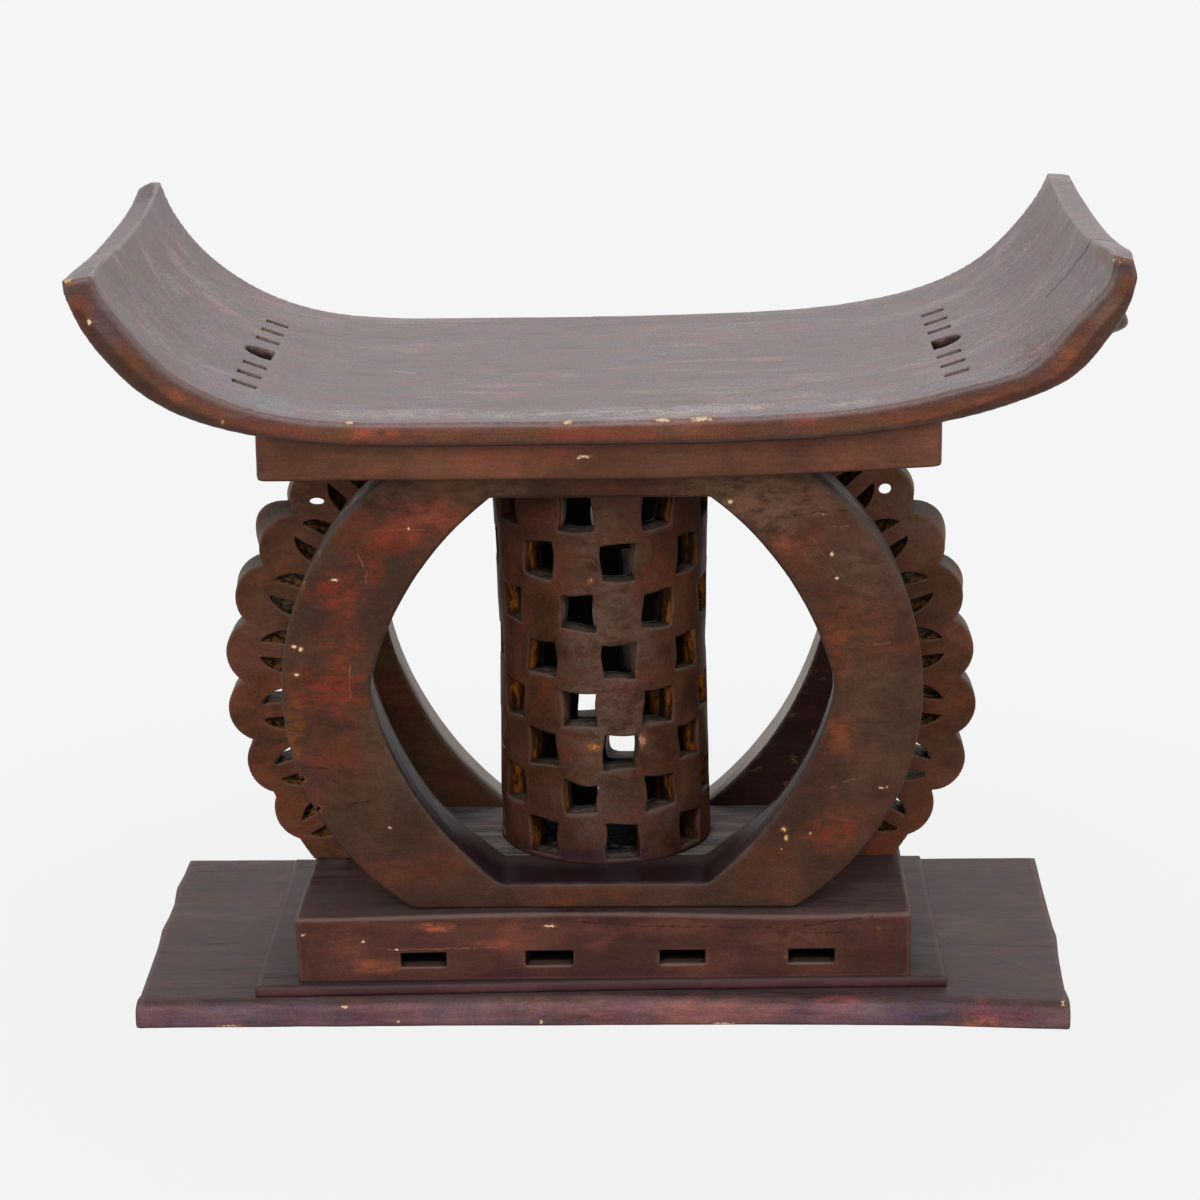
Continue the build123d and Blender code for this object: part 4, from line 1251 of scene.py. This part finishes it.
@dataclass
class Saddle:
    """The seat and the block that it lies on."""

    wave: float = 0.0008

    def build(self) -> None:
        """Carve and dress the two pieces."""
        self.block()
        self.seat()

    def block(self) -> None:
        """Carve and dress the block, whose foot rises towards its right end."""
        block = Carving("seat_block", Grain.MEDIUM).soften(2).uneven(0.05, self.wave)
        points, lift = block.points, 0.0065
        wide, deep, high = points.T
        clear = np.maximum(ramp(deep, -0.106, -0.118), ramp(wide, 0.175, 0.187))
        points[:, 2] += lift * ramp(high, 0.364, 0.349) * ramp(wide, 0.03, 0.20) ** 1.6 * clear
        block.points = points
        block.finish(StainedWood(
            "block_stain", dark=(88, 55, 40), light=(108, 68, 52), red=(122, 70, 52),
            top=(96, 72, 62), worn=(124, 94, 80), shift=(3.0, 8.0, 2.0), wear=0.5, mottle=12.0,
            patches=blots(
                (-18, -143, 364, 20, 20, 7, (132, 66, 56), 0.6),
                (185, -143, 362, 30, 20, 14, (88, 58, 46), 0.6)),
            chips=nicks(
                (-7.7, -143, 363.2, 4.2, 6, 1.2), (-11, -143, 362.2, 2, 6, 0.8))), "block_wood")

    def seat(self) -> None:
        """Carve and dress the saddle seat."""
        seat = Carving("seat", Grain.BROAD).soften(1).uneven(0.06, self.wave)
        points, normals = seat.points, seat.normals
        curve = points[(np.abs(points[:, 1]) < 0.012) & (normals[:, 2] > 0.3)]
        tree = KDTree(len(curve))
        for number, (x, _, z) in enumerate(curve):
            tree.insert((x, 0.0, z), number)
        tree.balance()
        sunk = np.array([tree.find((x, 0.0, z))[2] for x, _, z in points])
        rim, tip = ramp(np.abs(points[:, 1]), 0.132, 0.144), ramp(np.abs(points[:, 0]), 0.262, 0.282)
        seat.relax(np.maximum(rim, tip * 0.5) * np.maximum(ramp(sunk, 0.006, 0.010), 0.08), 7)
        seat.bend(
            (287, -160, 466, 12, 80, 20, 4.5, 0, 0), (248, -165, 420, 34, 30, 16, 3, 0, -5),
            (308, -160, 468, 16, 70, 30, 2.4, 0, 0), (297, -165, 482, 20, 80, 20, 0, 0, 2.8),
            (297, -118, 434, 9, 13, 12, 14.5, 0, -3.5), (-300, 160, 478, 12, 30, 16, 0, 0, 4.8),
            (-274, -160, 440, 25, 30, 30, 3.5, 0, 0))
        seat.note("sunk", sunk)
        seat.bend(
            (290, 160, 445, 60, 120, 30, -4, 0, 1.8), (-292, -160, 476, 12, 30, 12, 3, 0, -2),
            (306, -160, 482, 10, 20, 10, -3, 0, -2))
        seat.finish(SeatWood(
            "seat_stain", dark=(88, 52, 36), light=(106, 62, 44), red=(116, 58, 38),
            top=(104, 78, 80), worn=(160, 138, 134), top_from=(0.22, 0.36), blur=0.15, wear=0.4,
            shift=(1.0, 9.0, 4.0), roughness=0.36, index=1.3, streaks=0.42, tinge=1.0, grit=1.3, lively=3.0,
            mottle=14.0, bloom=0.55,
            patches=blots(
                # A pale band along the top by the front edge: painted highlight.
                (-20, -138, 388, 200, 15, 30, (158, 142, 140), 0.9),
                (60, 100, 389, 90, 40, 30, (126, 98, 100), 0.6),
                (-200, 140, 400, 50, 40, 30, (126, 96, 98), 0.6),
                (-200, -128, 396, 50, 22, 30, (98, 98, 108), 0.7),
                (-260, -70, 435, 40, 50, 30, (110, 98, 96), 0.5),
                (240, 60, 430, 60, 60, 30, (104, 86, 84), 0.5),
                (160, 90, 398, 50, 30, 30, (122, 94, 96), 0.5),
                *on_face(-160.5, 8,
                    (-125, 382, 26, 4, (150, 78, 52), 0.8), (-16, 380, 20, 6, (128, 48, 44), 0.7),
                    (48, 384, 28, 6, (124, 76, 56), 0.6), (118, 388, 14, 5, (140, 78, 56), 0.6),
                    (178, 388, 30, 5, (120, 62, 44), 0.7), (226, 398, 28, 6, (134, 72, 54), 0.7),
                    (268, 420, 14, 16, (142, 74, 54), 0.7), (304, 474, 10, 10, (116, 66, 54), 0.8),
                    (292, 450, 14, 24, (104, 82, 66), 0.8), (150, 380, 50, 5, (76, 56, 40), 0.6),
                    (-262, 424, 14, 10, (112, 58, 36), 0.7), (-292, 452, 8, 12, (104, 54, 34), 0.6),
                    (-240, 406, 14, 6, (138, 74, 48), 0.8), (-216, 397, 16, 5, (120, 62, 42), 0.6),
                    (-282, 450, 10, 22, (86, 68, 66), 0.8), (-190, 395, 24, 5, (112, 96, 96), 0.5))),
            strokes=lines(FROM_ABOVE,
                (3.4, (40, 24, 22), 2.5, 316, -78, 300, -75, 289, -72, 284, -62, 276, -61, 268, -61),
                (1.4, (150, 136, 132), 0.2, 258, -58, 242, -50, 222, -40, 190, -34),
                (2.2, (92, 78, 80), 1, -26.2, -93.3, 0.1, -100),
                (1.8, (196, 184, 178), 0.2, -127, -13, -114, -21),
                (2, (98, 88, 88), 1, -102, 66, -95, 69, -87, 66, -95, 63, -102, 66),
                (1.6, (92, 78, 78), 1, -205, -20, -165, -31, -135, -28),
                (1.4, (96, 82, 82), 1, -205, 8, -240, 14),
                (1.3, (96, 80, 80), 1, 240, -75, 215, -66, 185, -62),
                (2, (150, 138, 134), 0.2, -290, 20, -262, -10, -235, -30),
                (1.8, (100, 80, 82), 1, -310, 34, -290, 28), (1.4, (110, 90, 92), 1, -310, 75, -291, 70)),
            chips=nicks(
                (-142.4, -160.5, 388.5, 4, 6, 2), (-16.8, -160.5, 387.5, 4, 6, 1.8),
                (37.2, -160.5, 388.5, 6, 6, 1.8), (59.1, -160.5, 389, 9, 7, 2.2),
                (-301, -157, 472, 4, 8, 3, (206, 180, 132)), (-290, -160.5, 448, 1.6, 6, 2.2),
                (124, -160.5, 395, 2.2, 8, 1.8), (296.5, -156, 479, 7, 6, 2.2, (214, 198, 184)),
                (-216, -160.5, 389, 1.6, 6, 1.4, (150, 132, 80)))), "seat_wood")


@dataclass
class Joinery:
    """The hidden dowels, which keep their solids."""

    nodes: tuple[str, ...] = ("base_dowels", "pad_dowels", "column_dowels", "seat_dowels")

    def build(self) -> None:
        """Dress the dowels."""
        wood = DowelWood("dowel_bare_wood").dress()
        for name in self.nodes:
            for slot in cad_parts[name].material_slots:
                slot.material = wood
            log.info("%s: dressed", name)


@dataclass
class Studio:
    """The floor, the lights and the camera."""

    pale: float = 0.913
    lens: float = 104.93
    view: tuple[tuple[float, float, float, float], ...] = (
        (0.9998301, 0.0059312, 0.0174549, 0.0360902),
        (0.0152341, 0.2673655, -0.9634748, -2.1260705),
        (-0.0103814, 0.9635770, 0.2672296, 0.8265290),
        (0.0, 0.0, 0.0, 1.0))

    def build(self) -> None:
        """Set up everything around the stool."""
        self.floor()
        self.world()
        self.light("key", (-0.7, -2.4, 1.3), (0.0, 0.0, 0.25), 1.5, 32.0)
        self.light("fill", (1.5, -1.9, 0.8), (0.0, 0.0, 0.25), 1.4, 12.0)
        self.light("rim", (0.2, 1.6, 1.9), (0.0, 0.0, 0.35), 1.6, 12.0)
        self.camera()
        bpy.context.scene.view_settings.view_transform = "Standard"

    def floor(self) -> None:
        """Lay a pale floor that keeps a trace of the stool's shadow."""
        bpy.ops.object.select_all(action="DESELECT")
        bpy.ops.mesh.primitive_plane_add(size=60.0, location=(0.0, 0.0, 0.0))
        plane = bpy.context.active_object
        plane.name = "studio_floor"
        graph = Graph(bpy.data.materials.new("studio_floor_pale"))
        far = graph.length(graph.place).rise(0.32, 0.7)
        plain = graph.make("ShaderNodeBsdfDiffuse", None, {"Color": (0.45, 0.45, 0.45, 1.0)})
        bright = graph.make("ShaderNodeEmission", None,
                            {"Color": (self.pale,) * 3 + (1.0,), "Strength": 1.0})
        shader = graph.make("ShaderNodeMixShader", None,
                            {0: self.seen(graph) * (0.955 + far * 0.045), 1: plain, 2: bright})
        graph.make("ShaderNodeOutputMaterial", None, {"Surface": shader})
        plane.data.materials.append(graph.owner)

    def seen(self, graph: Graph) -> Signal:
        """Whether a ray comes from the camera, straight or through a gloss."""
        straight, gloss, glass = (graph.make("ShaderNodeLightPath", output=f"Is {kind} Ray")
                                  for kind in ("Camera", "Glossy", "Transmission"))
        return straight.most(gloss).most(glass)

    def world(self) -> None:
        """Light the stool evenly from all round, with a pale background."""
        world = bpy.data.worlds.new("studio")
        bpy.context.scene.world = world
        graph = Graph(world)
        soft = graph.make("ShaderNodeBackground", None, {"Strength": 0.55})
        pale = graph.make("ShaderNodeBackground", None, {"Color": (self.pale,) * 3 + (1.0,)})
        both = graph.make("ShaderNodeMixShader", None, {0: self.seen(graph), 1: soft, 2: pale})
        graph.make("ShaderNodeOutputWorld", None, {"Surface": both})

    def light(self, name: str, place: Triple, aim: Triple, size: float, power: float) -> None:
        """Hang one soft square light.

        Args:
            name: What it is called.
            place: Where it hangs.
            aim: Where it points.
            size: How wide it is.
            power: How strong it is, in watts.
        """
        lamp = bpy.data.lights.new(name, "AREA")
        lamp.shape = "SQUARE"
        lamp.size = size
        lamp.energy = power
        holder = bpy.data.objects.new(name, lamp)
        holder.location = place
        holder.rotation_euler = (Vector(aim) - Vector(place)).to_track_quat("-Z", "Y").to_euler()
        bpy.context.scene.collection.objects.link(holder)

    def camera(self) -> None:
        """Stand the camera before the stool."""
        camera = bpy.data.cameras.new("camera")
        camera.lens = self.lens
        camera.sensor_width = 36.0
        camera.clip_end = 100.0
        holder = bpy.data.objects.new("camera", camera)
        holder.matrix_world = Matrix(self.view)
        bpy.context.scene.collection.objects.link(holder)
        bpy.context.scene.camera = holder


def main() -> None:
    """Build the stool from the floor up, and the studio round it."""
    logging.basicConfig(level=logging.INFO, format="%(name)s: %(message)s")
    for part in (Foot(), Cage(), Saddle(), Joinery(), Studio()):
        part.build()
        log.info("%s is ready", type(part).__name__)


if __name__ == "__main__":
    main()
